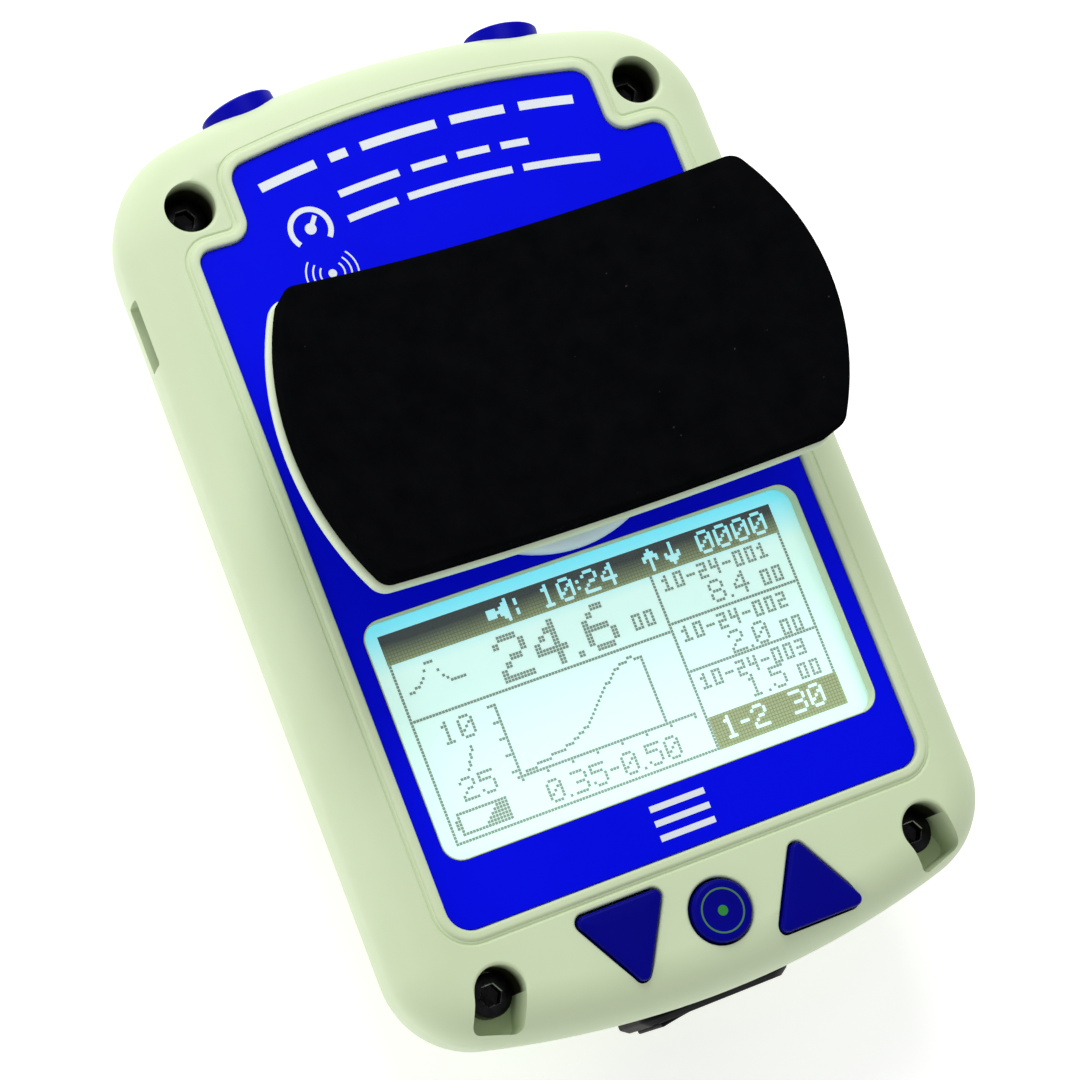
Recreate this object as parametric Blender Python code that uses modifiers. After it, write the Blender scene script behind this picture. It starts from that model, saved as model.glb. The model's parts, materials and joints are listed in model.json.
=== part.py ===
"""Hand dynamometer: a palm-held force tester with a padded, curved limb stirrup.

Units are metres. The tester lies on its back: the centre of the flat back is the origin, +Z comes
out of the face, +Y points to the end with the two trigger buttons, and the left and right halves
mirror each other about X = 0. Touching pieces keep a clearance of GAP.
"""

import math

import bmesh
import bpy
from mathutils import Matrix, Vector

MM = 0.001
GAP = 0.3 * MM

# Body: a rounded slab whose back narrows in an ellipse to fit the palm.
BODY_HALF_WIDTH = 40.8 * MM
BODY_HALF_LENGTH = 63.6 * MM
END_BOW_RADIUS = 127 * MM
TOP_CORNER = 14 * MM
BOTTOM_CORNER = 12 * MM
WALL = 2.4 * MM
FACE_Z = 36.3 * MM
FACE_EDGE = 7 * MM
PARTING_Z = 20 * MM
BACK_INSET_SIDE = 22 * MM
BACK_INSET_END = 7 * MM

# Blue label in its recess, with a raised bead round it.
LABEL_TOP_Z = 36 * MM
LABEL_THICKNESS = 0.4 * MM
LABEL_HALF_WIDTH = 32.7 * MM
LABEL_BOTTOM_Y = -45.8 * MM
LABEL_PEAK_Y = 55.9 * MM
LABEL_TOP_RADIUS = 131 * MM
NOTCH_X = 25.1 * MM
NOTCH_Y = 44.2 * MM
BEAD_WIDTH = 1.3 * MM
BEAD_HEIGHT = 0.4 * MM

# Display.
DISPLAY_Y = -21.9 * MM
OPENING = (60 * MM, 30.8 * MM)
OPENING_CORNER = 2.4 * MM
GLASS = (62 * MM, 34 * MM)
GLASS_TOP_Z = 32.7 * MM
FRAME_SIZE = (68 * MM, 40 * MM)

# Face keys.
KEY_Y = -54.2 * MM
KEY_X = 12.2 * MM
KEY_TOP_Z = FACE_Z + 0.7 * MM
KEY_BASE = 12.6 * MM
KEY_HEIGHT = 10.9 * MM
KEY_CORNER = 0.9 * MM
SELECT_RADIUS = 3.9 * MM
KEY_FLANGE = (13.2 * MM, 5 * MM)
SELECT_FLANGE = (10.4 * MM, 5 * MM)

# Trigger buttons on the end wall.
TRIGGER_X = 18.6 * MM
TRIGGER_Z = 28 * MM
TRIGGER_RADIUS = 5 * MM
TRIGGER_PROUD = 2 * MM

# Case screws (M3 socket heads) in deep wells.
TOP_SCREW = (31.2 * MM, 50.2 * MM)
BOTTOM_SCREW = (29.7 * MM, -53.6 * MM)
WELL_RADIUS = 3.2 * MM
WELL_FLOOR_Z = 27.8 * MM
WELL_SLOT = 5 * MM
WELL_SLOT_ANGLE = math.radians(18)
COLUMN_RADIUS = 5 * MM
COLUMN_FOOT_Z = 24.8 * MM
BOSS_RADIUS = 3.1 * MM
SCREW_LENGTH = 14 * MM

# Load path: cell, post, collar and stirrup, all on one vertical axis.
POST_Y = 13 * MM
POST_RADIUS = 6 * MM
COLLAR_RADIUS = 17.6 * MM
COLLAR_RIM = 19 * MM
COLLAR_TOP_Z = 38.6 * MM
STIRRUP_RADIUS = 35.5 * MM
STIRRUP_HALF_HEIGHT = 18.7 * MM
STIRRUP_CORNER = 2.6 * MM
STIRRUP_MID_Z = 44.5 * MM
STIRRUP_THICKNESS = 3 * MM
STIRRUP_BEND = 104 * MM
FOAM_INSET = 0.4 * MM
FOAM_THICKNESS = 5.9 * MM

# Power rocker in the lower end wall.
SWITCH_Z = 17.5 * MM
SWITCH_SEAT_Y = -62.7 * MM
BEZEL = (21 * MM, 15 * MM)
BEZEL_THICKNESS = 1.4 * MM
SWITCH_BODY = (19 * MM, 12.8 * MM)
ROCKER_HALF = (8.4 * MM, 5.5 * MM)
ROCKER_TILT = math.radians(3)
ROCKER_PIVOT_Y = -61.5 * MM

# Electronics and battery.
BOARD_Z = (24.9 * MM, 26.5 * MM)
BOARD_HALF_WIDTH = 36.5 * MM
BOARD_Y = (-57.5 * MM, 44.6 * MM)
BOARD_POSTS = ((32.5 * MM, 30 * MM), (18 * MM, -46 * MM))
POST_SUPPORT_RADIUS = 3.2 * MM
USB_Y = 37.8 * MM
TRAY_HALF_WIDTH = 27.5 * MM
TRAY_Y = (-40.3 * MM, -2.6 * MM)
TRAY_Z = (6 * MM, 21 * MM)
CELL_RADIUS = 7.1 * MM
CELL_LENGTH = 50.5 * MM
CELL_Z = 11.5 * MM
DOOR_HALF_WIDTH = 26.5 * MM
DOOR_Y = (-40 * MM, -3.2 * MM)
DOOR_SCREW_Y = -36.6 * MM
DOOR_CORNER = 3 * MM

for old in list(bpy.data.objects):
    bpy.data.objects.remove(old, do_unlink=True)

PARTS = bpy.data.collections.new("hand_dynamometer")
CUTTERS = bpy.data.collections.new("cutters")
bpy.context.scene.collection.children.link(PARTS)
bpy.context.scene.collection.children.link(CUTTERS)
CUTTERS.hide_render = True


# ---------------------------------------------------------------- materials


def material(name, colour, roughness, metallic=0.0):
    """A plain Principled material with one colour."""
    mat = bpy.data.materials.new(name)
    mat.use_nodes = True
    shader = mat.node_tree.nodes["Principled BSDF"]
    shader.inputs["Base Color"].default_value = (*colour, 1.0)
    shader.inputs["Roughness"].default_value = roughness
    shader.inputs["Metallic"].default_value = metallic
    mat.diffuse_color = (*colour, 1.0)
    return mat


CASE_COLOUR = (0.72, 0.74, 0.60)
BLUE_COLOUR = (0.0, 0.01, 0.45)
BLACK_COLOUR = (0.02, 0.02, 0.02)
STEEL_COLOUR = (0.62, 0.63, 0.65)


# ---------------------------------------------------------------- outlines


def arc(centre, radius, start, end, steps):
    """Points along an arc, from start to end in radians, both included."""
    turns = [start + (end - start) * i / steps for i in range(steps + 1)]
    return [(centre[0] + radius * math.cos(a), centre[1] + radius * math.sin(a)) for a in turns]


def body_outline(half_width, half_length, inset=0.0):
    """The body seen from the front, counter-clockwise: straight sides, bowed ends, round corners."""
    points = []
    bow = END_BOW_RADIUS - inset
    width = half_width - inset
    length = half_length - inset
    for sign, corner in ((1, TOP_CORNER), (-1, BOTTOM_CORNER)):
        radius = corner - inset
        bow_y = length - bow
        corner_x = width - radius
        corner_y = bow_y + math.sqrt((bow - radius) ** 2 - corner_x**2)
        turn = math.atan2(corner_y - bow_y, corner_x)
        half = arc((corner_x, corner_y), radius, 0, turn, 6)
        half += arc((0, bow_y), bow, turn, math.pi - turn, 8)[1:-1]
        half += arc((-corner_x, corner_y), radius, math.pi - turn, math.pi, 6)
        points += [(sign * x, sign * y) for x, y in half]
    return points


def rounded(corners, steps=4):
    """A closed outline through corners (x, y, radius), each one rounded by its radius."""
    points = []
    for i, (x, y, radius) in enumerate(corners):
        here = Vector((x, y))
        back = (Vector(corners[i - 1][:2]) - here).normalized()
        ahead = (Vector(corners[(i + 1) % len(corners)][:2]) - here).normalized()
        half = back.angle(ahead) / 2
        middle = here + (back + ahead).normalized() * radius / math.sin(half)
        foot = here + back * radius / math.tan(half) - middle
        sweep = math.pi - 2 * half
        turn = -1 if back.cross(ahead) > 0 else 1
        for k in range(steps + 1):
            spoke = Matrix.Rotation(turn * sweep * k / steps, 2) @ foot
            points.append(tuple(middle + spoke))
    return points


def rectangle(width, height, corner, centre=(0, 0)):
    """A rectangle with rounded corners."""
    cx, cy = centre
    signs = ((1, -1), (1, 1), (-1, 1), (-1, -1))
    return rounded([(cx + a * width / 2, cy + b * height / 2, corner) for a, b in signs])


def label_outline(grow=0.0):
    """The label: bowed top, straight sides and S-shaped notches round the upper screw wells."""
    side = LABEL_HALF_WIDTH + grow
    bottom = LABEL_BOTTOM_Y - grow
    notch_x = NOTCH_X + grow
    notch_y = NOTCH_Y + grow
    radius = LABEL_TOP_RADIUS + grow
    slope = math.asin(22 * MM / LABEL_TOP_RADIUS)
    apex = LABEL_PEAK_Y + grow + radius * (1 / math.cos(slope) - 1)
    shoulder = apex - notch_x * math.tan(slope)
    right = [
        (side, bottom, 3.2 * MM + grow),
        (side, notch_y, 1.9 * MM + grow),
        (notch_x, notch_y, 2.6 * MM - grow),
        (notch_x, shoulder, 2.6 * MM + grow),
    ]
    left = [(-x, y, r) for x, y, r in reversed(right)]
    return rounded(right + [(0, apex, radius - 1 * MM)] + left, 5)


def triangle_outline(pointing, grow=0.0):
    """A face key's rounded triangle, pointing up the body (+1) or down it (-1)."""
    low = -KEY_HEIGHT / 2 - grow
    high = KEY_HEIGHT / 2 + 1.8 * grow
    half = KEY_BASE / 2 + 1.6 * grow
    corner = KEY_CORNER + grow
    corners = [(half, low, corner), (0, high, corner), (-half, low, corner)]
    place = pointing * KEY_X
    return [(place + pointing * x, KEY_Y + pointing * y) for x, y in rounded(corners)]


def stirrup_outline(inset=0.0):
    """A disc cut by two straight edges, with its four corners rounded."""
    radius = STIRRUP_RADIUS - inset
    high = STIRRUP_HALF_HEIGHT - inset
    corner = STIRRUP_CORNER - inset
    corner_y = high - corner
    corner_x = math.sqrt((radius - corner) ** 2 - corner_y**2)
    turn = math.atan2(corner_y, corner_x)
    right = arc((corner_x, -corner_y), corner, -math.pi / 2, -turn, 4)
    right += arc((0, 0), radius, -turn, turn, 12)[1:-1]
    right += arc((corner_x, corner_y), corner, turn, math.pi / 2, 4)
    points = right + [(-x, -y) for x, y in right]
    return [(x, POST_Y + y) for x, y in points]


# ---------------------------------------------------------------- solids


def new_object(name, bm, mat=None):
    """A mesh object from a bmesh: a part with its material, or a cutter without one."""
    mesh = bpy.data.meshes.new(name)
    bm.to_mesh(mesh)
    bm.free()
    obj = bpy.data.objects.new(name, mesh)
    if mat is None:
        CUTTERS.objects.link(obj)
        obj.hide_render = True
        obj.display_type = "WIRE"
    else:
        PARTS.objects.link(obj)
        mesh.materials.append(mat)
        mesh.shade_smooth()
        mesh.set_sharp_from_angle(angle=math.radians(35))
    return obj


def prism(name, outline, low, high, mat=None):
    """A flat outline raised from low to high."""
    bm = bmesh.new()
    ring = [bm.verts.new((x, y, low)) for x, y in outline]
    edges = [bm.edges.new((ring[i - 1], ring[i])) for i in range(len(ring))]
    bmesh.ops.edgeloop_fill(bm, edges=edges)
    raised = bmesh.ops.extrude_face_region(bm, geom=bm.faces[:])
    top = [item for item in raised["geom"] if isinstance(item, bmesh.types.BMVert)]
    bmesh.ops.translate(bm, verts=top, vec=(0, 0, high - low))
    bmesh.ops.recalc_face_normals(bm, faces=bm.faces[:])
    return new_object(name, bm, mat)


def loft(name, rings, mat=None):
    """A closed solid through rings of equal point counts, each ring (outline, z)."""
    bm = bmesh.new()
    loops = [[bm.verts.new((x, y, z)) for x, y in outline] for outline, z in rings]
    for below, above in zip(loops, loops[1:]):
        for i in range(len(below)):
            j = (i + 1) % len(below)
            bm.faces.new((below[i], below[j], above[j], above[i]))
    bm.faces.new(loops[0])
    bm.faces.new(loops[-1])
    bmesh.ops.recalc_face_normals(bm, faces=bm.faces[:])
    return new_object(name, bm, mat)


def box(name, low, high, mat=None):
    """A box between two corners."""
    bm = bmesh.new()
    bmesh.ops.create_cube(bm, size=1)
    low, high = Vector(low), Vector(high)
    size = high - low
    place = Matrix.Translation((low + high) / 2) @ Matrix.Diagonal((*size, 1))
    bmesh.ops.transform(bm, matrix=place, verts=bm.verts[:])
    return new_object(name, bm, mat)


def cylinder(name, start, end, radius, mat=None, segments=20):
    """A round bar between two points."""
    bm = bmesh.new()
    start, end = Vector(start), Vector(end)
    span = end - start
    bmesh.ops.create_cone(
        bm,
        cap_ends=True,
        segments=segments,
        radius1=radius,
        radius2=radius,
        depth=span.length,
    )
    turn = span.to_track_quat("Z", "Y").to_matrix().to_4x4()
    bmesh.ops.transform(bm, matrix=Matrix.Translation((start + end) / 2) @ turn, verts=bm.verts[:])
    return new_object(name, bm, mat)


def turned(name, profile, place, mat=None, steps=28, closed=False, turn=None):
    """A solid of revolution: profile (radius, height) runs down its outer side; a ring is closed."""
    bm = bmesh.new()
    points = [bm.verts.new((r, 0, z)) for r, z in profile]
    pairs = list(zip(points, points[1:]))
    if closed:
        pairs.append((points[-1], points[0]))
    for first, second in pairs:
        bm.edges.new((first, second))
    obj = new_object(name, bm, mat)
    obj.location = place
    if turn is not None:
        obj.rotation_euler = turn
    spin = obj.modifiers.new("Screw", "SCREW")
    spin.steps = steps
    spin.render_steps = steps
    spin.use_merge_vertices = True
    spin.merge_threshold = 0.00001
    spin.use_smooth_shade = True
    return obj


def tube(name, points, radius, mat):
    """A round lead along a smooth path through a few points."""
    smooth = []
    for i in range(len(points) - 1):
        before = Vector(points[max(i - 1, 0)])
        start, end = Vector(points[i]), Vector(points[i + 1])
        after = Vector(points[min(i + 2, len(points) - 1)])
        for k in range(4):
            t = k / 4
            bend = (end - before) * t + (2 * before - 5 * start + 4 * end - after) * t**2
            bend += (3 * start - before - 3 * end + after) * t**3
            smooth.append(start + bend / 2)
    smooth.append(Vector(points[-1]))
    curve = bpy.data.curves.new(name, "CURVE")
    curve.dimensions = "3D"
    curve.bevel_depth = radius
    curve.bevel_resolution = 2
    curve.use_fill_caps = True
    spline = curve.splines.new("POLY")
    spline.points.add(len(smooth) - 1)
    for point, place in zip(spline.points, smooth):
        point.co = (*place, 1)
    curve.materials.append(mat)
    obj = bpy.data.objects.new(name, curve)
    PARTS.objects.link(obj)
    return obj


def combine(obj, operation, *others):
    """Cuts, joins or intersects obj with other meshes, in turn."""
    for other in others:
        modifier = obj.modifiers.new(operation.title(), "BOOLEAN")
        modifier.operation = operation
        modifier.solver = "EXACT"
        modifier.object = other
    return obj


def set_origin(obj, point):
    """Moves an object's origin to a point without moving its shape."""
    point = Vector(point)
    obj.data.transform(Matrix.Translation(obj.location - point))
    obj.location = point


# ---------------------------------------------------------------- casing


def back_rings(inset, low, high, steps):
    """Rings of the tapering back, from low to high; inset is 0 outside and WALL inside."""
    widest = FACE_Z - FACE_EDGE
    depth = widest - inset
    rings = []
    for i in range(steps + 1):
        z = low + (high - low) * i / steps
        sine = (widest - z) / depth
        cosine = math.sqrt(max(0.0, 1 - sine**2))
        side = BODY_HALF_WIDTH - BACK_INSET_SIDE * (1 - cosine)
        side += inset * (1 - cosine)
        end = BODY_HALF_LENGTH - BACK_INSET_END * (1 - cosine)
        rings.append((body_outline(side, end, inset), z))
    return rings


def rear_rings(inset, top):
    """Rings from the flat back up to top, closer together where the wall turns fast."""
    widest = FACE_Z - FACE_EDGE
    rings = []
    for turn in (90, 76, 62, 49, 37):
        z = widest - (widest - inset) * math.sin(math.radians(turn))
        rings += back_rings(inset, z, z, 1)[:1]
    return rings + back_rings(inset, rings[-1][1], top, 2)[1:]


def face_rings(inset, low):
    """Rings from low up over the rounded front edge to the flat face."""
    widest = FACE_Z - FACE_EDGE
    rings = back_rings(inset, low, widest, 3)
    for turn in (22, 45, 67, 90):
        angle = math.radians(turn)
        reach = (FACE_EDGE - inset) * (1 - math.cos(angle)) + inset
        rise = (FACE_EDGE - inset) * math.sin(angle)
        rings.append((body_outline(BODY_HALF_WIDTH, BODY_HALF_LENGTH, reach), widest + rise))
    return rings


def slot_solid(name, centre, side, radius, length, low, high):
    """A round-ended slot that runs outward from a lower screw, as a cutter."""
    direction = Vector((side * math.sin(WELL_SLOT_ANGLE), -math.cos(WELL_SLOT_ANGLE)))
    across = Vector((-direction.y, direction.x))
    start = math.atan2(across.y, across.x)
    outline = arc(centre, radius, start, start + math.pi, 10)
    end = Vector(centre) + direction * length
    outline += [tuple(end - across * radius), tuple(end + across * radius)]
    return prism(name, outline, low, high)


def screw_places():
    """(name, x, y) of the four case screws."""
    tx, ty = TOP_SCREW
    bx, by = BOTTOM_SCREW
    return [("1", -tx, ty), ("2", tx, ty), ("3", -bx, by), ("4", bx, by)]


def board_screw_places():
    """(x, y) of the posts that carry the main board."""
    return [(sx * x, y) for x, y in BOARD_POSTS for sx in (-1, 1)]


def trigger_frame(side):
    """(point on the end wall, outward direction) of a trigger button."""
    lean = math.asin(TRIGGER_X / END_BOW_RADIUS)
    outward = Vector((side * math.sin(lean), math.cos(lean), 0))
    middle = Vector((0, BODY_HALF_LENGTH - END_BOW_RADIUS, TRIGGER_Z))
    return middle + outward * END_BOW_RADIUS, outward


def make_front_housing(mat):
    cavity = loft("front_cavity", face_rings(WALL, PARTING_Z - 2 * MM))
    columns = []
    for name, x, y in screw_places():
        side = 1 if x > 0 else -1
        if y > 0:
            foot, head = (x, y, COLUMN_FOOT_Z), (x, y, FACE_Z)
            columns.append(cylinder("column_" + name, foot, head, COLUMN_RADIUS))
        else:
            args = (side, COLUMN_RADIUS, WELL_SLOT + 4 * MM, COLUMN_FOOT_Z, FACE_Z)
            columns.append(slot_solid("column_" + name, (x, y), *args))
    combine(cavity, "DIFFERENCE", *columns)

    front = loft("front_housing", face_rings(0, PARTING_Z), mat)
    bead = prism("bead", label_outline(BEAD_WIDTH), FACE_Z - 1 * MM, FACE_Z + BEAD_HEIGHT)
    combine(front, "UNION", bead)
    cuts = [cavity]
    pocket_floor = LABEL_TOP_Z - LABEL_THICKNESS - GAP
    cuts.append(prism("label_pocket", label_outline(0), pocket_floor, FACE_Z + 2 * MM))
    opening = rectangle(*OPENING, OPENING_CORNER, (0, DISPLAY_Y))
    cuts.append(prism("display_opening", opening, 30 * MM, FACE_Z + 2 * MM))
    post = (0, POST_Y)
    cuts.append(cylinder("post_hole", (*post, 30 * MM), (*post, 40 * MM), 7.3 * MM, segments=32))
    for name, x, y in screw_places():
        side = 1 if x > 0 else -1
        top = FACE_Z + 2 * MM
        if y > 0:
            ends = ((x, y, WELL_FLOOR_Z), (x, y, top))
            cuts.append(cylinder("well_" + name, *ends, WELL_RADIUS, segments=24))
        else:
            args = (side, WELL_RADIUS, WELL_SLOT, WELL_FLOOR_Z, top)
            cuts.append(slot_solid("well_" + name, (x, y), *args))
        ends = ((x, y, 20 * MM), (x, y, WELL_FLOOR_Z + 1 * MM))
        cuts.append(cylinder("clearance_" + name, *ends, 1.8 * MM, segments=12))
    low, high = 30 * MM, FACE_Z + 2 * MM
    cuts.append(prism("down_aperture", triangle_outline(-1, GAP), low, high))
    cuts.append(prism("up_aperture", triangle_outline(1, GAP), low, high))
    ends = ((0, KEY_Y, low), (0, KEY_Y, high))
    cuts.append(cylinder("select_aperture", *ends, SELECT_RADIUS + GAP, segments=32))
    for side, name in ((-1, "left"), (1, "right")):
        wall, outward = trigger_frame(side)
        ends = (wall - outward * 6 * MM, wall + outward * 3 * MM)
        cuts.append(cylinder(name + "_trigger_hole", *ends, TRIGGER_RADIUS + GAP, segments=24))
    low = (-BODY_HALF_WIDTH - 2 * MM, USB_Y - 4.6 * MM, 26.4 * MM)
    high = (-BODY_HALF_WIDTH + 4 * MM, USB_Y + 4.6 * MM, 31.1 * MM)
    cuts.append(box("usb_slot", low, high))
    return combine(front, "DIFFERENCE", *cuts, *switch_cutters("front"))


def switch_cutters(name):
    """The flat seat for the switch's bezel and the hole for its body."""
    margin = 0.3 * MM
    width, height = (BEZEL[0] / 2 + margin, BEZEL[1] / 2 + margin)
    low = (-width, SWITCH_SEAT_Y - 5 * MM, SWITCH_Z - height)
    high = (width, SWITCH_SEAT_Y, SWITCH_Z + height)
    seat = box(name + "_switch_seat", low, high)
    width, height = (SWITCH_BODY[0] / 2 + margin, SWITCH_BODY[1] / 2 + margin)
    low = (-width, SWITCH_SEAT_Y - 5 * MM, SWITCH_Z - height)
    high = (width, SWITCH_SEAT_Y + 6 * MM, SWITCH_Z + height)
    return seat, box(name + "_switch_hole", low, high)


def make_rear_cavity(name):
    """The hollow of the rear housing, less its screw bosses and board posts."""
    cavity = loft(name, rear_rings(WALL, PARTING_Z + 2 * MM))
    bosses = []
    for tag, x, y in screw_places():
        ends = ((x, y, 0), (x, y, PARTING_Z + 5 * MM))
        bosses.append(cylinder(name + "_boss_" + tag, *ends, BOSS_RADIUS))
    for i, (x, y) in enumerate(board_screw_places()):
        ends = ((x, y, 0), (x, y, PARTING_Z + 5 * MM))
        bosses.append(cylinder(f"{name}_post_{i}", *ends, POST_SUPPORT_RADIUS, segments=16))
    return combine(cavity, "DIFFERENCE", *bosses)


def groove_ring(name, outer, inner, low, high, mat=None):
    """A flat ring that follows the body's rim, as a prism with a prism cut out of it."""
    half_width, half_length = rim_halves()
    ring = prism(name, body_outline(half_width, half_length, outer), low, high, mat)
    hole = body_outline(half_width, half_length, inner)
    return combine(ring, "DIFFERENCE", prism(name + "_hole", hole, low - 1 * MM, high + 1 * MM))


def rim_halves():
    """Half width and half length of the outer rim at the parting plane."""
    outline = back_rings(0, PARTING_Z, PARTING_Z, 1)[0][0]
    return max(x for x, _ in outline), max(y for _, y in outline)


def make_rear_housing(mat):
    rim_z = PARTING_Z - GAP
    rear = loft("rear_housing", rear_rings(0, rim_z), mat)
    combine(rear, "DIFFERENCE", make_rear_cavity("rear_cavity"))
    supports = [(x, y, BOSS_RADIUS, COLUMN_FOOT_Z) for _, x, y in screw_places()]
    supports += [(x, y, POST_SUPPORT_RADIUS, BOARD_Z[0]) for x, y in board_screw_places()]
    for i, (x, y, radius, top) in enumerate(supports):
        ends = ((x, y, PARTING_Z - 3 * MM), (x, y, top - GAP))
        combine(rear, "UNION", cylinder(f"riser_{i}", *ends, radius - 0.1 * MM, segments=16))
    cuts = [groove_ring("gasket_groove", 0.4 * MM, 2.0 * MM, rim_z - 1.1 * MM, rim_z + 1 * MM)]
    for name, x, y in screw_places():
        ends = ((x, y, WELL_FLOOR_Z - SCREW_LENGTH - 1 * MM), (x, y, 30 * MM))
        cuts.append(cylinder("screw_bore_" + name, *ends, 1.8 * MM, segments=12))
    for i, (x, y) in enumerate(board_screw_places()):
        ends = ((x, y, 17.5 * MM), (x, y, 30 * MM))
        cuts.append(cylinder(f"post_bore_{i}", *ends, 1.5 * MM, segments=12))
    size = (2 * DOOR_HALF_WIDTH, DOOR_Y[1] - DOOR_Y[0])
    opening = rectangle(*size, DOOR_CORNER, (0, sum(DOOR_Y) / 2))
    cuts.append(prism("door_opening", opening, -1 * MM, 9 * MM))
    return combine(rear, "DIFFERENCE", *cuts, *switch_cutters("rear"))


def make_battery_door(mat):
    rim_z = PARTING_Z - GAP
    door = loft("battery_door", rear_rings(0, rim_z), mat)
    cavity = loft("door_cavity", rear_rings(WALL, PARTING_Z + 2 * MM))
    size = (2 * (DOOR_HALF_WIDTH - GAP), DOOR_Y[1] - DOOR_Y[0] - 2 * GAP)
    outline = rectangle(*size, DOOR_CORNER - GAP, (0, sum(DOOR_Y) / 2))
    combine(door, "DIFFERENCE", cavity)
    combine(door, "INTERSECT", prism("door_trim", outline, -1 * MM, 9 * MM))
    ends = ((0, DOOR_SCREW_Y, -1 * MM), (0, DOOR_SCREW_Y, 4 * MM))
    hole = cylinder("door_screw_hole", *ends, 1.6 * MM, segments=12)
    ends = ((0, DOOR_SCREW_Y, -1 * MM), (0, DOOR_SCREW_Y, 1.5 * MM))
    return combine(door, "DIFFERENCE", hole, cylinder("door_screw_seat", *ends, 2.6 * MM))


def screw_solid(name, place, head_radius, head_height, radius, length, mat, drive, flip=False):
    """A screw with its head above place and its shank below; drive is its hex socket's radius."""
    screw = cylinder(name, (0, 0, 0), (0, 0, head_height), head_radius, mat)
    ends = ((0, 0, -length), (0, 0, head_height / 2))
    combine(screw, "UNION", cylinder(name + "_shank", *ends, radius, segments=12))
    ends = ((0, 0, head_height * 0.45), (0, 0, head_height + 1 * MM))
    combine(screw, "DIFFERENCE", cylinder(name + "_hex", *ends, drive, segments=6))
    for piece in [screw] + [m.object for m in screw.modifiers]:
        piece.location = place
        if flip:
            piece.rotation_euler = (math.pi, 0, 0)
    return screw


# ---------------------------------------------------------------- display and keys


def make_display(frame_mat, glass_mat, light_mat, clear_mat):
    centre = (0, DISPLAY_Y)
    window = rectangle(GLASS[0], GLASS[1], 1 * MM, centre)
    prism("display_window", window, 33 * MM, 33.5 * MM, clear_mat)
    glass = rectangle(*GLASS, 0.5 * MM, centre)
    prism("lcd_glass", glass, GLASS_TOP_Z - 1.8 * MM, GLASS_TOP_Z, glass_mat)
    low = GLASS_TOP_Z - 4.7 * MM
    prism("lcd_backlight", glass, low, GLASS_TOP_Z - 2.1 * MM, light_mat)
    outline = rectangle(*FRAME_SIZE, 1 * MM, centre)
    frame = prism("lcd_frame", outline, low - 1.0 * MM, GLASS_TOP_Z, frame_mat)
    room = rectangle(GLASS[0] + 2 * GAP, GLASS[1] + 2 * GAP, 0.8 * MM, centre)
    combine(frame, "DIFFERENCE", prism("lcd_room", room, low - GAP, 40 * MM))


def make_key(name, outline, flange, centre, mat, plunger_mat, switch_mat):
    """A face key with its flange and stem, and the switch and plunger below it."""
    key = prism(name + "_button", outline, 33.2 * MM, KEY_TOP_Z, mat)
    edge = key.modifiers.new("Bevel", "BEVEL")
    edge.width = 0.35 * MM
    edge.segments = 2
    edge.angle_limit = math.radians(50)
    combine(key, "UNION", prism(name + "_flange", flange, 32.2 * MM, 33.4 * MM))
    x, y = centre
    ends = ((x, y, 30.3 * MM), (x, y, 32.6 * MM))
    combine(key, "UNION", cylinder(name + "_stem", *ends, 2 * MM, segments=16))
    set_origin(key, (x, y, KEY_TOP_Z))
    ends = ((x, y, 28.2 * MM), (x, y, 30 * MM))
    cylinder(name + "_plunger", *ends, 1.6 * MM, plunger_mat, segments=16)
    low = BOARD_Z[1] + GAP
    switch = box(name + "_switch", (x - 3 * MM, y - 3 * MM, low), (x + 3 * MM, y + 3 * MM, 29 * MM))
    ends = ((x, y, low + 0.3 * MM), (x, y, 31 * MM))
    finish_switch(switch, cylinder(name + "_switch_bore", *ends, 2 * MM, segments=16), switch_mat)


def finish_switch(switch, bore, mat):
    """Turns a plain box into a visible switch body with a bore."""
    CUTTERS.objects.unlink(switch)
    PARTS.objects.link(switch)
    switch.hide_render = False
    switch.display_type = "TEXTURED"
    switch.data.materials.append(mat)
    combine(switch, "DIFFERENCE", bore)


def make_keys(blue, plunger_mat, switch_mat):
    for name, pointing in (("down", -1), ("up", 1)):
        outline = triangle_outline(pointing)
        centre = (pointing * KEY_X, KEY_Y)
        flange = rectangle(*KEY_FLANGE, 1 * MM, centre)
        make_key(name, outline, flange, centre, blue, plunger_mat, switch_mat)
    outline = arc((0, KEY_Y), SELECT_RADIUS, 0, math.tau, 32)[:-1]
    flange = rectangle(*SELECT_FLANGE, 1 * MM, (0, KEY_Y))
    make_key("select", outline, flange, (0, KEY_Y), blue, plunger_mat, switch_mat)


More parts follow.
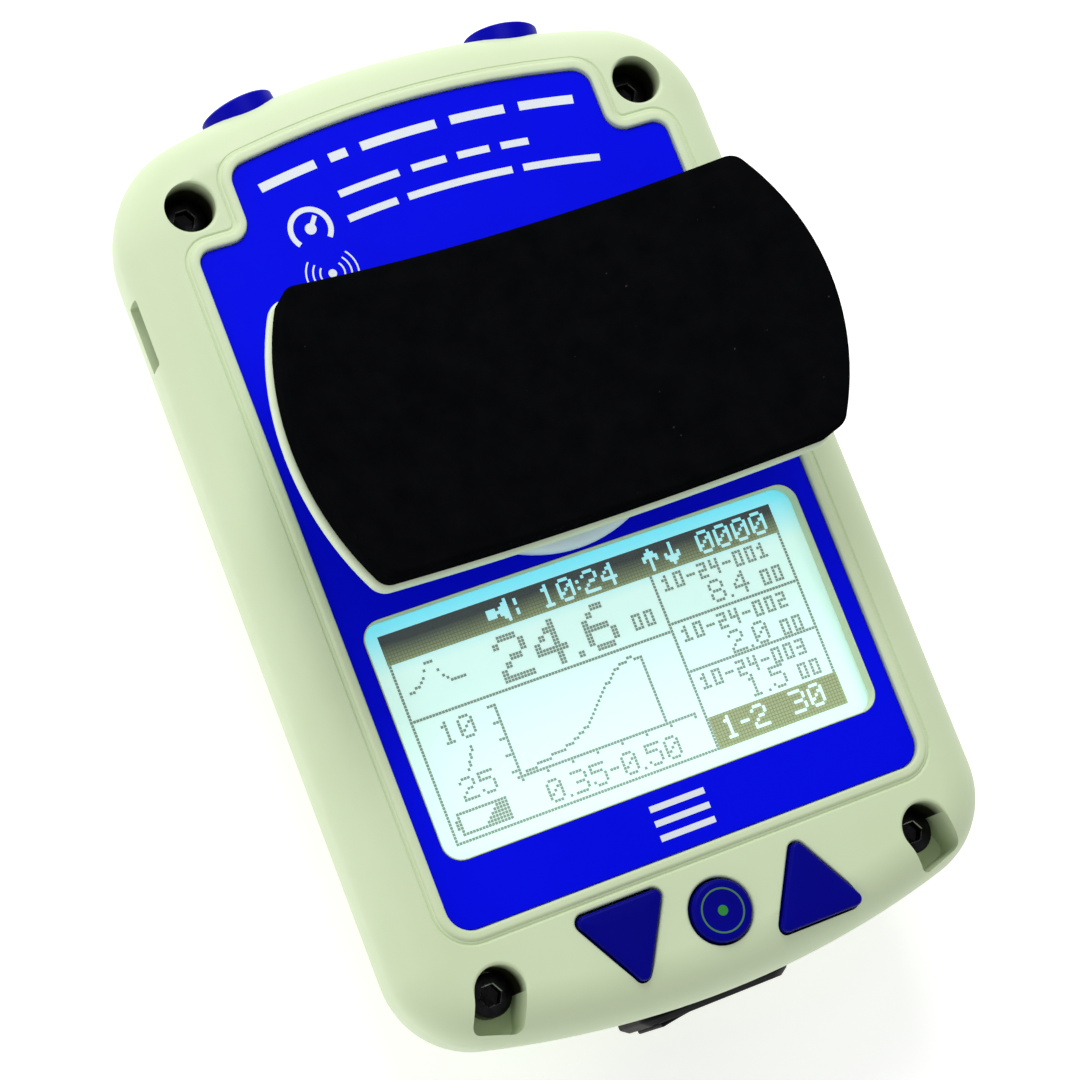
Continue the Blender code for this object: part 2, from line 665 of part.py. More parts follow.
def make_trigger(side, name, blue, plunger_mat, switch_mat):
    """A domed trigger button with its plunger and its switch."""
    wall, outward = trigger_frame(side)
    turn = outward.to_track_quat("Z", "X").to_euler()
    dome = [(0, TRIGGER_PROUD)]
    for k in range(1, 5):
        angle = math.radians(90 - 22.5 * k)
        height = 1.0 * MM + (TRIGGER_PROUD - 1.0 * MM) * math.sin(angle)
        dome.append((TRIGGER_RADIUS * math.cos(angle), height))
    dome += [(TRIGGER_RADIUS, -4.2 * MM), (2 * MM, -4.2 * MM), (2 * MM, -6.4 * MM), (0, -6.4 * MM)]
    button = turned(name + "_trigger_button", dome, wall, blue, steps=24, turn=turn)
    low, high = (-2 * MM, -6.5 * MM, -4.1 * MM), (2 * MM, 6.5 * MM, -3.2 * MM)
    tabs = box(name + "_trigger_tabs", low, high)
    tabs.location = wall
    tabs.rotation_euler = turn
    combine(button, "UNION", tabs)

    def along(reach):
        return wall + outward * reach

    ends = (along(-10.2 * MM), along(-6.7 * MM))
    cylinder(name + "_trigger_plunger", *ends, 1.6 * MM, plunger_mat, segments=16)
    low, high = (-3 * MM, -3 * MM, -12.2 * MM), (3 * MM, 3 * MM, -8.2 * MM)
    switch = box(name + "_trigger_switch", low, high)
    switch.location = wall
    switch.rotation_euler = turn
    ends = (along(-11.8 * MM), along(-7 * MM))
    bore = cylinder(name + "_trigger_bore", *ends, 2 * MM, segments=16)
    finish_switch(switch, bore, switch_mat)


# ---------------------------------------------------------------- power switch


def make_power_switch(mat, rocker_mat, terminal_mat):
    outer = SWITCH_SEAT_Y - GAP - BEZEL_THICKNESS
    low = (-BEZEL[0] / 2, outer, SWITCH_Z - BEZEL[1] / 2)
    high = (BEZEL[0] / 2, SWITCH_SEAT_Y - GAP, SWITCH_Z + BEZEL[1] / 2)
    body = box("power_switch_body", low, high, mat)
    edge = body.modifiers.new("Bevel", "BEVEL")
    edge.width = 0.5 * MM
    edge.segments = 2
    low = (-SWITCH_BODY[0] / 2, SWITCH_SEAT_Y - 1 * MM, SWITCH_Z - SWITCH_BODY[1] / 2)
    high = (SWITCH_BODY[0] / 2, -48 * MM, SWITCH_Z + SWITCH_BODY[1] / 2)
    combine(body, "UNION", box("switch_block", low, high))
    low = (-9 * MM, outer - 1 * MM, SWITCH_Z - 5.8 * MM)
    high = (9 * MM, -58 * MM, SWITCH_Z + 5.8 * MM)
    combine(body, "DIFFERENCE", box("switch_room", low, high))
    for i, x in enumerate((-5 * MM, 5 * MM)):
        low = (x - 0.4 * MM, -47.7 * MM, SWITCH_Z - 3.1 * MM)
        high = (x + 0.4 * MM, -41.5 * MM, SWITCH_Z + 3.1 * MM)
        box(f"power_terminal_{i + 1}", low, high, terminal_mat)

    # The rocker is drawn level and then tilted, so that its left half stands proud at rest.
    half, tall = ROCKER_HALF
    crest = outer - 0.2 * MM
    outline = [(half, crest), (0, crest + 0.5 * MM), (-half, crest)]
    outline += [(-half + 0.8 * MM, -61.2 * MM), (-2 * MM, -60 * MM)]
    outline += [(2 * MM, -60 * MM), (half - 0.8 * MM, -61.2 * MM)]
    rocker = prism("power_rocker", outline[::-1], SWITCH_Z - tall, SWITCH_Z + tall, rocker_mat)
    set_origin(rocker, (0, ROCKER_PIVOT_Y, SWITCH_Z))
    rocker.data.transform(Matrix.Rotation(ROCKER_TILT, 4, "Z"))


# ---------------------------------------------------------------- load path


def curved_slab(name, low, thickness, mat=None):
    """A slab that curves up towards its two ends, wider than the stirrup all round."""
    reach = STIRRUP_RADIUS + 2 * MM
    centre_z = low + STIRRUP_BEND
    swing = math.asin(reach / STIRRUP_BEND)
    middle = -math.pi / 2
    under = arc((0, centre_z), STIRRUP_BEND, middle - swing, middle + swing, 16)
    over = arc((0, centre_z), STIRRUP_BEND - thickness, middle + swing, middle - swing, 16)
    wide = STIRRUP_HALF_HEIGHT + 2 * MM
    slab = prism(name, under + over, -wide, wide, mat)
    slab.data.transform(Matrix.Translation((0, POST_Y, 0)) @ Matrix.Rotation(math.pi / 2, 4, "X"))
    return slab


def make_stirrup(plate_mat, foam_mat):
    plate = curved_slab("stirrup_plate", STIRRUP_MID_Z, STIRRUP_THICKNESS, plate_mat)
    trim = prism("plate_trim", stirrup_outline(), 30 * MM, 80 * MM)
    hub = cylinder(
        "plate_hub", (0, POST_Y, 39.2 * MM), (0, POST_Y, 45.5 * MM), 10 * MM, segments=32
    )
    socket = cylinder(
        "plate_socket", (0, POST_Y, 38 * MM), (0, POST_Y, 43.8 * MM), POST_RADIUS + GAP, segments=28
    )
    combine(plate, "INTERSECT", trim)
    combine(plate, "UNION", hub)
    combine(plate, "DIFFERENCE", socket)
    set_origin(plate, (0, POST_Y, STIRRUP_MID_Z))
    foam_low = STIRRUP_MID_Z + STIRRUP_THICKNESS + GAP
    foam = curved_slab("foam_pad", foam_low, FOAM_THICKNESS, foam_mat)
    combine(foam, "INTERSECT", prism("foam_trim", stirrup_outline(FOAM_INSET), 30 * MM, 80 * MM))
    set_origin(foam, (0, POST_Y, STIRRUP_MID_Z))


def make_load_cell(cell_mat, plate_mat, post_mat, seal_mat, collar_mat, screw_mat):
    axis = (0, POST_Y, 0)
    cell = [(0, 23.0), (4, 23.0), (4, 20.5), (11, 20.5), (11, 18.5), (14, 17.5)]
    cell += [(14, 6.0), (0, 6.0)]
    turned("load_cell", [(r * MM, z * MM) for r, z in cell], axis, cell_mat, steps=32)
    wide, groove = POST_RADIUS / MM, POST_RADIUS / MM - 1
    post = [(0, 43.5), (wide - 0.6, 43.5), (wide, 42.9), (wide, 42.2), (groove, 42.2)]
    post += [(groove, 41.0), (wide, 41.0), (wide, 23.3), (0, 23.3)]
    turned("load_post", [(r * MM, z * MM) for r, z in post], axis, post_mat)
    ring = [(5.9, 41.9), (5.9, 41.3), (5.3, 41.3), (5.3, 41.9)]
    turned("detent_ring", [(r * MM, z * MM) for r, z in ring], axis, seal_mat, closed=True)
    seal = [(7.0, 37.9), (7.0, 36.6), (6.3, 36.6), (6.3, 37.9)]
    turned("post_seal", [(r * MM, z * MM) for r, z in seal], axis, seal_mat, closed=True)
    top, foot = COLLAR_TOP_Z / MM, (LABEL_TOP_Z - LABEL_THICKNESS) / MM
    outer, rim, brim = COLLAR_RADIUS / MM, COLLAR_RIM / MM, (LABEL_TOP_Z + GAP) / MM
    collar = [(rim - 1.4, top), (rim - 0.4, top - 0.5), (rim, top - 1.3), (rim, brim)]
    collar += [(outer, brim), (outer, foot), (7.3, foot), (7.3, top)]
    profile = [(r * MM, z * MM) for r, z in collar]
    turned("load_collar", profile, axis, collar_mat, steps=48, closed=True)
    low, high = (-20 * MM, -1 * MM, 2.7 * MM), (20 * MM, 33 * MM, 5.7 * MM)
    plate = box("load_cell_plate", low, high, plate_mat)
    places = [(sx * 17 * MM, y) for y in (2.5 * MM, 29.5 * MM) for sx in (-1, 1)]
    for i, (x, y) in enumerate(places):
        ends = ((x, y, 0), (x, y, 8 * MM))
        combine(plate, "DIFFERENCE", cylinder(f"cell_screw_hole_{i}", *ends, 1.8 * MM, segments=12))
        name = f"cell_screw_{i + 1}"
        sizes = (2.7 * MM, 1.9 * MM, 1.5 * MM, 3 * MM)
        screw_solid(name, (x, y, 6 * MM), *sizes, screw_mat, 1.2 * MM)


# ---------------------------------------------------------------- electronics and battery


def make_board(board_mat, chip_mat, metal_mat, screw_mat):
    low = (-BOARD_HALF_WIDTH, BOARD_Y[0], BOARD_Z[0])
    board = box("main_board", low, (BOARD_HALF_WIDTH, BOARD_Y[1], BOARD_Z[1]), board_mat)
    cuts = [cylinder("board_post_hole", (0, POST_Y, 20 * MM), (0, POST_Y, 30 * MM), 7.5 * MM)]
    for side in (-1, 1):
        near, far = side * 22.8 * MM, side * 45 * MM
        low = (min(near, far), BOARD_Y[0] - 5 * MM, 20 * MM)
        cuts.append(box(f"board_notch_{side}", low, (max(near, far), -45.5 * MM, 30 * MM)))
    for i, (x, y) in enumerate(board_screw_places()):
        ends = ((x, y, 20 * MM), (x, y, 30 * MM))
        cuts.append(cylinder(f"board_hole_{i}", *ends, 1.5 * MM, segments=12))
        name = f"board_screw_{i + 1}"
        sizes = (2.2 * MM, 1.5 * MM, 1.2 * MM, 8 * MM)
        screw_solid(name, (x, y, BOARD_Z[1] + GAP), *sizes, screw_mat, 0.9 * MM)
    combine(board, "DIFFERENCE", *cuts)
    top = BOARD_Z[1] + GAP
    box("processor_chip", (-6 * MM, 26 * MM, top), (6 * MM, 38 * MM, top + 1.4 * MM), chip_mat)
    module = ((14 * MM, 24 * MM, top), (28 * MM, 42 * MM, top + 2.2 * MM))
    box("wireless_module", *module, metal_mat)
    place = (-23 * MM, 10 * MM)
    cylinder("buzzer", (*place, top), (*place, top + 5 * MM), 6 * MM, chip_mat, segments=24)
    back, mouth = -29.5 * MM, -BODY_HALF_WIDTH + WALL + 0.5 * MM
    low, high = (mouth, USB_Y - 3.9 * MM, top), (back, USB_Y + 3.9 * MM, top + 3.9 * MM)
    usb = box("usb_port", low, high, metal_mat)
    low = (mouth - 1 * MM, USB_Y - 3.4 * MM, top + 0.5 * MM)
    high = (back - 1.5 * MM, USB_Y + 3.4 * MM, top + 3.4 * MM)
    combine(usb, "DIFFERENCE", box("usb_mouth", low, high))


def make_battery(tray_mat, cell_mat, screw_mat, lead_mat):
    low = (-TRAY_HALF_WIDTH, TRAY_Y[0], TRAY_Z[0])
    tray = box("battery_tray", low, (TRAY_HALF_WIDTH, TRAY_Y[1], TRAY_Z[1]), tray_mat)
    wall = 1.2 * MM
    low = (-TRAY_HALF_WIDTH + wall, TRAY_Y[0] + wall, TRAY_Z[0] - 1 * MM)
    room = box("tray_room", low, (TRAY_HALF_WIDTH - wall, TRAY_Y[1] - wall, TRAY_Z[1] - wall))
    ends = ((0, DOOR_SCREW_Y, 3 * MM), (0, DOOR_SCREW_Y, TRAY_Z[1] - wall / 2))
    boss = cylinder("tray_boss", *ends, 2.3 * MM, segments=16)
    ends = ((0, DOOR_SCREW_Y, 2 * MM), (0, DOOR_SCREW_Y, 11.5 * MM))
    combine(tray, "DIFFERENCE", room)
    combine(tray, "UNION", boss)
    combine(tray, "DIFFERENCE", cylinder("tray_bore", *ends, 1.5 * MM, segments=12))
    place = (0, DOOR_SCREW_Y, 1.5 * MM - GAP)
    size = (2.2 * MM, 0.9 * MM, 1.2 * MM, 9 * MM)
    screw_solid("battery_door_screw", place, *size, screw_mat, 0.8 * MM, flip=True)

    first = TRAY_Y[1] - wall - 1 * MM - CELL_RADIUS
    for i, y in enumerate((first, first - 2 * CELL_RADIUS - 0.4 * MM)):
        ends = ((-CELL_LENGTH / 2, y, CELL_Z), (CELL_LENGTH / 2, y, CELL_Z))
        cylinder(f"battery_cell_{i + 1}", *ends, CELL_RADIUS, cell_mat, segments=24)
    route = [(28.6, -12, 16), (30.2, -12, 17.5), (31.2, -11, 20), (31.2, -10, 23.5)]
    tube("battery_lead", [(x * MM, y * MM, z * MM) for x, y, z in route], 0.8 * MM, lead_mat)
    route = [(14.6, 16, 12), (19, 17.5, 12.2), (23, 21, 15), (24, 24, 19), (24, 25, 23.5)]
    tube("load_cell_lead", [(x * MM, y * MM, z * MM) for x, y, z in route], 1.1 * MM, lead_mat)


# ---------------------------------------------------------------- assembly

case = material("case_plastic", CASE_COLOUR, 0.45)
blue = material("blue_plastic", BLUE_COLOUR, 0.4)
blue_label = material("blue_label", (0.0, 0.02, 0.8), 0.35)
black = material("black_plastic", BLACK_COLOUR, 0.4)
foam_black = material("foam_black", (0.012, 0.012, 0.012), 0.95)
rubber = material("black_rubber", BLACK_COLOUR, 0.8)
steel = material("steel", STEEL_COLOUR, 0.35, 1.0)
black_steel = material("black_steel", (0.05, 0.05, 0.05), 0.4, 1.0)
aluminium = material("aluminium", (0.75, 0.76, 0.78), 0.4, 1.0)
glass_mat = material("lcd_glass", (0.75, 0.9, 0.9), 0.1)
clear = material("clear_plastic", (0.9, 0.95, 0.95), 0.05)
light = material("backlight_white", (0.9, 0.95, 1.0), 0.5)
green = material("board_green", (0.02, 0.25, 0.08), 0.5)
brass = material("brass", (0.8, 0.6, 0.25), 0.35, 1.0)
sleeve = material("battery_sleeve", (0.1, 0.35, 0.2), 0.4)

make_front_housing(case)
make_rear_housing(case)
rim = PARTING_Z - GAP
gasket = groove_ring("case_gasket", 0.7 * MM, 1.7 * MM, rim - 0.8 * MM, rim, rubber)
# The gasket stops either side of the power switch.
break_box = ((-11.5 * MM, -70 * MM, 10 * MM), (11.5 * MM, -50 * MM, 30 * MM))
combine(gasket, "DIFFERENCE", box("gasket_break", *break_box))
make_battery_door(case)
label_floor = LABEL_TOP_Z - LABEL_THICKNESS
label = prism("label_overlay", label_outline(-GAP), label_floor, LABEL_TOP_Z, blue_label)
cutout = rectangle(OPENING[0] + 2 * GAP, OPENING[1] + 2 * GAP, OPENING_CORNER, (0, DISPLAY_Y))
combine(label, "DIFFERENCE", prism("label_window", cutout, 30 * MM, 40 * MM))
collar_hole = ((0, POST_Y, 30 * MM), (0, POST_Y, 40 * MM), COLLAR_RADIUS + GAP)
combine(label, "DIFFERENCE", cylinder("label_collar_hole", *collar_hole, segments=48))
for tag, screw_x, screw_y in screw_places():
    spot = (screw_x, screw_y, WELL_FLOOR_Z + GAP)
    sizes = (2.75 * MM, 3 * MM, 1.5 * MM, SCREW_LENGTH)
    screw_solid("case_screw_" + tag, spot, *sizes, black_steel, 1.4 * MM)
make_display(black_steel, glass_mat, light, clear)
make_keys(blue, black, black)
make_trigger(-1, "left", blue, black, black)
make_trigger(1, "right", blue, black, black)
box("trigger_board", (-24 * MM, 47.9 * MM, 22.5 * MM), (24 * MM, 49.4 * MM, 33.2 * MM), green)
make_power_switch(black, black, brass)
make_load_cell(steel, aluminium, steel, rubber, case, black_steel)
make_stirrup(case, foam_black)
make_board(green, black, steel, black_steel)
make_battery(black, sleeve, black_steel, rubber)
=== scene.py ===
"""Looks of the hand dynamometer: smooth moulded shells, label, display, keys, screws, stirrup and foam.

All shapes are in metres in the CAD frame: the tester lies on its back, +Z comes out of the face and
+Y points to the end with the trigger buttons.
"""

import json
import math

import bmesh
import bpy
from mathutils import Matrix, Vector


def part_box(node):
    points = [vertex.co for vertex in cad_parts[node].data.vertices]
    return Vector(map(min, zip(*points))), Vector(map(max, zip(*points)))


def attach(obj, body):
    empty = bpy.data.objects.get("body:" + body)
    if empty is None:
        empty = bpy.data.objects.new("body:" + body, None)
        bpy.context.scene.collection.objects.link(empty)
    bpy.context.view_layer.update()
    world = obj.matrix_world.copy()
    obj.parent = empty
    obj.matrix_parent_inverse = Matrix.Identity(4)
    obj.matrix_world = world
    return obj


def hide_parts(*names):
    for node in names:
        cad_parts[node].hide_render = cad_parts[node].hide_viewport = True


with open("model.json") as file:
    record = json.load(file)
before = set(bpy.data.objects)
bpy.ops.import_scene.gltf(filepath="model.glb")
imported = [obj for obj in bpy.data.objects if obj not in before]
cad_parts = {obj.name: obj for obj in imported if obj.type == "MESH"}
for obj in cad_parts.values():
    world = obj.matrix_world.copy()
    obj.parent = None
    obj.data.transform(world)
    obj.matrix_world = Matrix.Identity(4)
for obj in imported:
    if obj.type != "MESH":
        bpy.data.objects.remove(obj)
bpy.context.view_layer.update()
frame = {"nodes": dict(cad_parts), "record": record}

MM = 0.001
GRAIN = 0.25 * MM

# Places read from the CAD.
SHELL_LOW, SHELL_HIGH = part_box("front_housing")
LABEL_LOW, LABEL_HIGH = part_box("label_overlay")
GLASS_LOW, GLASS_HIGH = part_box("lcd_glass")
COLLAR_LOW, COLLAR_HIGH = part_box("load_collar")
BEZEL_LOW, BEZEL_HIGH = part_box("power_switch_body")

# Housing.
HALF_WIDTH = SHELL_HIGH.x
HALF_LENGTH = SHELL_HIGH.y
BEAD_HEIGHT = 0.4 * MM
FACE_Z = SHELL_HIGH.z - BEAD_HEIGHT
PARTING_Z = SHELL_LOW.z
FACE_EDGE = 7 * MM
WIDEST_Z = FACE_Z - FACE_EDGE
END_BOW_RADIUS = 127 * MM
TOP_CORNER = 14 * MM
BOTTOM_CORNER = 12 * MM
WALL = 2.4 * MM
SEAM = 0.3 * MM
BACK_INSET_SIDE = 22 * MM
BACK_INSET_END = 7 * MM

# Label.
LABEL_HALF_WIDTH = 32.7 * MM
LABEL_BOTTOM_Y = -45.8 * MM
LABEL_PEAK_Y = 55.9 * MM
LABEL_TOP_RADIUS = 131 * MM
NOTCH_X = 25.1 * MM
NOTCH_Y = 44.2 * MM
LABEL_Z = LABEL_HIGH.z
POCKET_Z = LABEL_LOW.z - SEAM
LIP_Z = LABEL_Z + 0.04 * MM
LIP_WIDTH = 0.2 * MM

# Display.
DISPLAY_Y = (GLASS_LOW.y + GLASS_HIGH.y) / 2
OPENING = (60 * MM, 30.8 * MM)
OPENING_CORNER = 2.4 * MM
DOT_PITCH = 0.43 * MM
DOTS = (128, 64)
DIVIDE = 84
SCREEN_CENTRE = (0, -21.7 * MM)

# Keys, triggers and screws.
KEY_Y = -54.2 * MM
KEY_X = 12.2 * MM
KEY_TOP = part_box("up_button")[1].z
KEY_BASE = 12.6 * MM
KEY_HEIGHT = 10.9 * MM
KEY_CORNER = 0.9 * MM
SELECT_RADIUS = 3.9 * MM
TRIGGER_X = 18.6 * MM
TRIGGER_Z = 28 * MM
TRIGGER_RADIUS = 5 * MM
TRIGGER_PROUD = 2 * MM
TOP_SCREW = (31.2 * MM, 50.2 * MM)
BOTTOM_SCREW = (29.7 * MM, -53.6 * MM)
WELL_RADIUS = 3.2 * MM
WELL_FLOOR_Z = 27.8 * MM
WELL_SLOT = 5 * MM
WELL_SLOT_ANGLE = math.radians(18)
COLUMN_RADIUS = 5 * MM
COLUMN_FOOT_Z = 24.8 * MM
BOSS_RADIUS = 3.1 * MM
HEAD_RADIUS = 2.75 * MM

# Load path.
POST_Y = 13 * MM
COLLAR_FOOT_RADIUS = 17.6 * MM
STIRRUP_RADIUS = 35.5 * MM
STIRRUP_HALF_HEIGHT = 18.7 * MM
STIRRUP_CORNER = 2.6 * MM
STIRRUP_MID_Z = 44.5 * MM
STIRRUP_THICKNESS = 3 * MM
STIRRUP_BEND = 104 * MM
FOAM_INSET = 0.4 * MM
FOAM_THICKNESS = 5.9 * MM

# Power switch, data socket and battery door.
SWITCH_Z = (BEZEL_LOW.z + BEZEL_HIGH.z) / 2
SWITCH_SEAT_Y = -62.7 * MM
BEZEL_CORNER = 3.2 * MM
SWITCH_BODY = (19 * MM, 12.8 * MM)
ROCKER_HALF = (8.4 * MM, 5.5 * MM)
ROCKER_PIVOT_Y = -61.5 * MM
ROCKER_TILT = math.radians(3)
USB_Y = 37.8 * MM
USB_Z = 28.75 * MM
DOOR_HALF_WIDTH = 26.5 * MM
DOOR_Y = (-40 * MM, -3.2 * MM)
DOOR_CORNER = 3 * MM
DOOR_SCREW_Y = -36.6 * MM
BOARD_POSTS = ((32.5 * MM, 30 * MM), (18 * MM, -46 * MM))

# Camera: where it stands, the point on the face that it looks at, which way is up in it, and the lighting.
CAMERA_PLACE = (-0.1274, -0.0563, 0.3951)
CAMERA_TARGET = (-0.0043, -0.0034, 0.036)
CAMERA_UP = (0.3024, 0.9226, 0.2396)
CAMERA_LENS = 102.56
SKY_LIGHT = 0.53
FLOOR_GLOW = 0.42
SCREEN_GLOW = 0.55


# ---- materials


class Nodes:
    """A material's node tree with a Principled shader, and short ways to add to it."""

    def __init__(self, name):
        self.mat = bpy.data.materials.new(name)
        self.mat.use_nodes = True
        self.tree = self.mat.node_tree
        self.shader = self.tree.nodes["Principled BSDF"]

    def add(self, kind, **values):
        node = self.tree.nodes.new(kind)
        for name, value in values.items():
            if name in node.inputs:
                node.inputs[name].default_value = value
            else:
                setattr(node, name, value)
        return node

    def link(self, source, output, target, socket):
        self.tree.links.new(source.outputs[output], target.inputs[socket])

    def follow_object(self, node):
        """Gives a node the object's own coordinates."""
        self.link(self.add("ShaderNodeTexCoord"), "Object", node, "Vector")
        return node

    def noise(self, scale, detail=3.0, roughness=0.5, stretch=None):
        node = self.add("ShaderNodeTexNoise", Scale=scale, Detail=detail, Roughness=roughness)
        if not stretch:
            return self.follow_object(node)
        mapping = self.follow_object(self.add("ShaderNodeMapping", Scale=stretch))
        self.link(mapping, "Vector", node, "Vector")
        return node

    def height(self, axis, low, high):
        """0 up to the place low on an axis, and 1 from high on."""
        split = self.follow_object(self.add("ShaderNodeSeparateXYZ"))
        span = self.add("ShaderNodeMapRange", **{"From Min": low, "From Max": high})
        self.link(split, axis, span, "Value")
        return span

    def ramp(self, source, output, low, high, first, last):
        """Turns a value from low to high into a colour or grey from first to last."""
        node = self.add("ShaderNodeValToRGB")
        ends = node.color_ramp.elements
        ends[0].position, ends[1].position = low, high
        ends[0].color, ends[1].color = rgba(first), rgba(last)
        self.link(source, output, node, "Fac")
        return node

    def feed(self, socket, *ramp):
        """Sends such a colour or grey to one of the shader's sockets."""
        self.link(self.ramp(*ramp), "Color", self.shader, socket)

    def bump(self, source, output, strength, distance, after=None):
        node = self.add("ShaderNodeBump", Strength=strength, Distance=distance)
        self.link(source, output, node, "Height")
        if after:
            self.link(after, "Normal", node, "Normal")
        self.link(node, "Normal", self.shader, "Normal")
        return node

    def set(self, **values):
        for name, value in values.items():
            self.shader.inputs[name.replace("_", " ")].default_value = value


def rgba(colour):
    """A grey or a colour as red, green, blue and alpha."""
    if isinstance(colour, (int, float)):
        return (colour, colour, colour, 1)
    return (*colour, 1)


def moulded(name, light, dark, roughness, strength=0.35, specular=0.5, glow=0.0):
    """Moulded plastic or paint: a fine spark-eroded grain, slow changes of tone and of gloss."""
    nodes = Nodes(name)
    nodes.feed("Base Color", nodes.noise(55, 4), "Fac", 0.3, 0.7, dark, light)
    wear = nodes.noise(420, 5, 0.6)
    nodes.feed("Roughness", wear, "Fac", 0.25, 0.75, roughness - 0.06, roughness + 0.06)
    nodes.bump(nodes.noise(1 / GRAIN, 2), "Fac", strength, 0.02 * MM)
    nodes.set(Specular_IOR_Level=specular, Emission_Strength=glow)
    return nodes.mat


def machined(name, light, dark, roughness):
    """Metal with fine tool marks across it and a little uneven tone."""
    nodes = Nodes(name)
    marks = nodes.noise(900, 4, 0.6, stretch=(1, 1, 30))
    nodes.feed("Base Color", marks, "Fac", 0.3, 0.7, dark, light)
    nodes.feed("Roughness", marks, "Fac", 0.3, 0.7, roughness - 0.08, roughness + 0.1)
    nodes.bump(marks, "Fac", 0.15, 0.01 * MM)
    nodes.set(Metallic=1.0)
    return nodes.mat


def foam_material():
    """Closed-cell foam: near-black skin with small open cells and a few pale specks of dust."""
    nodes = Nodes("foam_black")
    cells = nodes.follow_object(nodes.add("ShaderNodeTexVoronoi", Scale=2600))
    slow = nodes.noise(260, 4, 0.6)
    first = nodes.bump(slow, "Fac", 0.25, 0.06 * MM)
    nodes.bump(cells, "Distance", 0.55, 0.05 * MM, first)
    tone = nodes.ramp(slow, "Fac", 0.3, 0.8, (0.0022, 0.0024, 0.0028), (0.004, 0.0042, 0.0048))
    specks = nodes.ramp(nodes.noise(1500, 1, 0.4), "Fac", 0.815, 0.84, 0.0, 0.3)
    mix = nodes.add("ShaderNodeMix", data_type="RGBA")
    # The two colours that a mix blends are its inputs 6 and 7, and the blend is its output 2.
    nodes.link(specks, "Color", mix, "Factor")
    nodes.link(tone, "Color", mix, 6)
    mix.inputs[7].default_value = (0.09, 0.09, 0.1, 1)
    nodes.link(mix, 2, nodes.shader, "Base Color")
    nodes.set(Roughness=0.95, Specular_IOR_Level=0.0)
    return nodes.mat


def screen_material():
    """The lit display behind its dots: white, going to cyan along its upper edge in colour and glow; the cyan
    edge is painted shade from the stirrup above, where only the backlight shows.
    """
    nodes = Nodes("screen_glow")
    height = nodes.height("Y", GLASS_HIGH.y - 9 * MM, GLASS_HIGH.y - 1.5 * MM)
    glow = nodes.ramp(height, "Result", 0.1, 0.9, (0.66, 0.93, 0.87), (0.20, 0.80, 0.98))
    nodes.link(glow, "Color", nodes.shader, "Base Color")
    nodes.link(glow, "Color", nodes.shader, "Emission Color")
    nodes.feed("Roughness", nodes.noise(130, 3), "Fac", 0.3, 0.7, 0.3, 0.42)
    nodes.set(Emission_Strength=SCREEN_GLOW)
    return nodes.mat


def graded(name, span, wobble, ends, colours, specular=0.5):
    """Goes from one colour to another over a span (axis, low, high), unevenly by wobble (scale, share)."""
    nodes = Nodes(name)
    scale, share = wobble
    shade = nodes.add("ShaderNodeMath", operation="MULTIPLY_ADD")
    shade.inputs[1].default_value = share
    nodes.link(nodes.noise(scale, 3), "Fac", shade, 0)
    nodes.link(nodes.height(*span), "Result", shade, 2)
    nodes.feed("Base Color", shade, "Value", *ends, *colours)
    nodes.set(Roughness=0.5, Specular_IOR_Level=specular)
    return nodes.mat


def painted_well_shade():
    """The case plastic down a screw well, where little light gets in: painted shade that darkens it with
    depth.
    """
    span = ("Z", FACE_Z - 3.4 * MM, FACE_Z - 0.2 * MM)
    colours = ((0.012, 0.014, 0.005), (0.58, 0.67, 0.42))
    return graded("well_wall_painted_shade", span, (600, 0.3), (0.2, 1.15), colours, specular=0.3)


def dot_material(name, plain, shaded):
    """Liquid-crystal dots: one tone, and a darker one where the upper edge is in shade."""
    span = ("Y", SCREEN_CENTRE[1] + 9 * MM, SCREEN_CENTRE[1] + 13.5 * MM)
    return graded(name, span, (90, 0.25), (0.35, 0.95), (plain, shaded))


def clear_material():
    """The thin clear window, which only adds a faint reflection."""
    nodes = Nodes("clear_window")
    nodes.feed("Roughness", nodes.noise(200, 3), "Fac", 0.3, 0.7, 0.03, 0.08)
    nodes.set(Base_Color=(0.9, 0.97, 0.97, 1), Alpha=0.05)
    return nodes.mat


def board_material():
    """Green solder resist with darker tracks in two directions."""
    nodes = Nodes("board_green")
    tracks = nodes.add("ShaderNodeTexBrick", Scale=260, offset=0.35)
    tracks.inputs["Color1"].default_value = rgba((0.015, 0.16, 0.05))
    tracks.inputs["Color2"].default_value = rgba((0.02, 0.20, 0.07))
    tracks.inputs["Mortar"].default_value = rgba((0.05, 0.32, 0.12))
    nodes.follow_object(tracks)
    nodes.link(tracks, "Color", nodes.shader, "Base Color")
    nodes.bump(nodes.noise(1800, 2), "Fac", 0.1, 0.01 * MM)
    nodes.set(Roughness=0.42)
    return nodes.mat


CASE = moulded("case_plastic", (0.66, 0.77, 0.515), (0.63, 0.74, 0.48), 0.45, specular=0.3)
LABEL = moulded("label_blue", (0.0, 0.003, 0.84), (0.0, 0.002, 0.78), 0.5, strength=0.15, specular=0.04)
BLUE = moulded("button_blue", (0.0, 0.0, 0.25), (0.0, 0.0, 0.215), 0.4, strength=0.3, specular=0.06)
INK = moulded("white_ink", (0.80, 0.86, 0.90), (0.74, 0.80, 0.86), 0.5, strength=0.1)
MARK_GREEN = moulded("key_mark_green", (0.05, 0.19, 0.09), (0.04, 0.15, 0.07), 0.5)
DOT_GREEN = moulded("key_dot_green", (0.01, 0.26, 0.03), (0.01, 0.2, 0.02), 0.4)
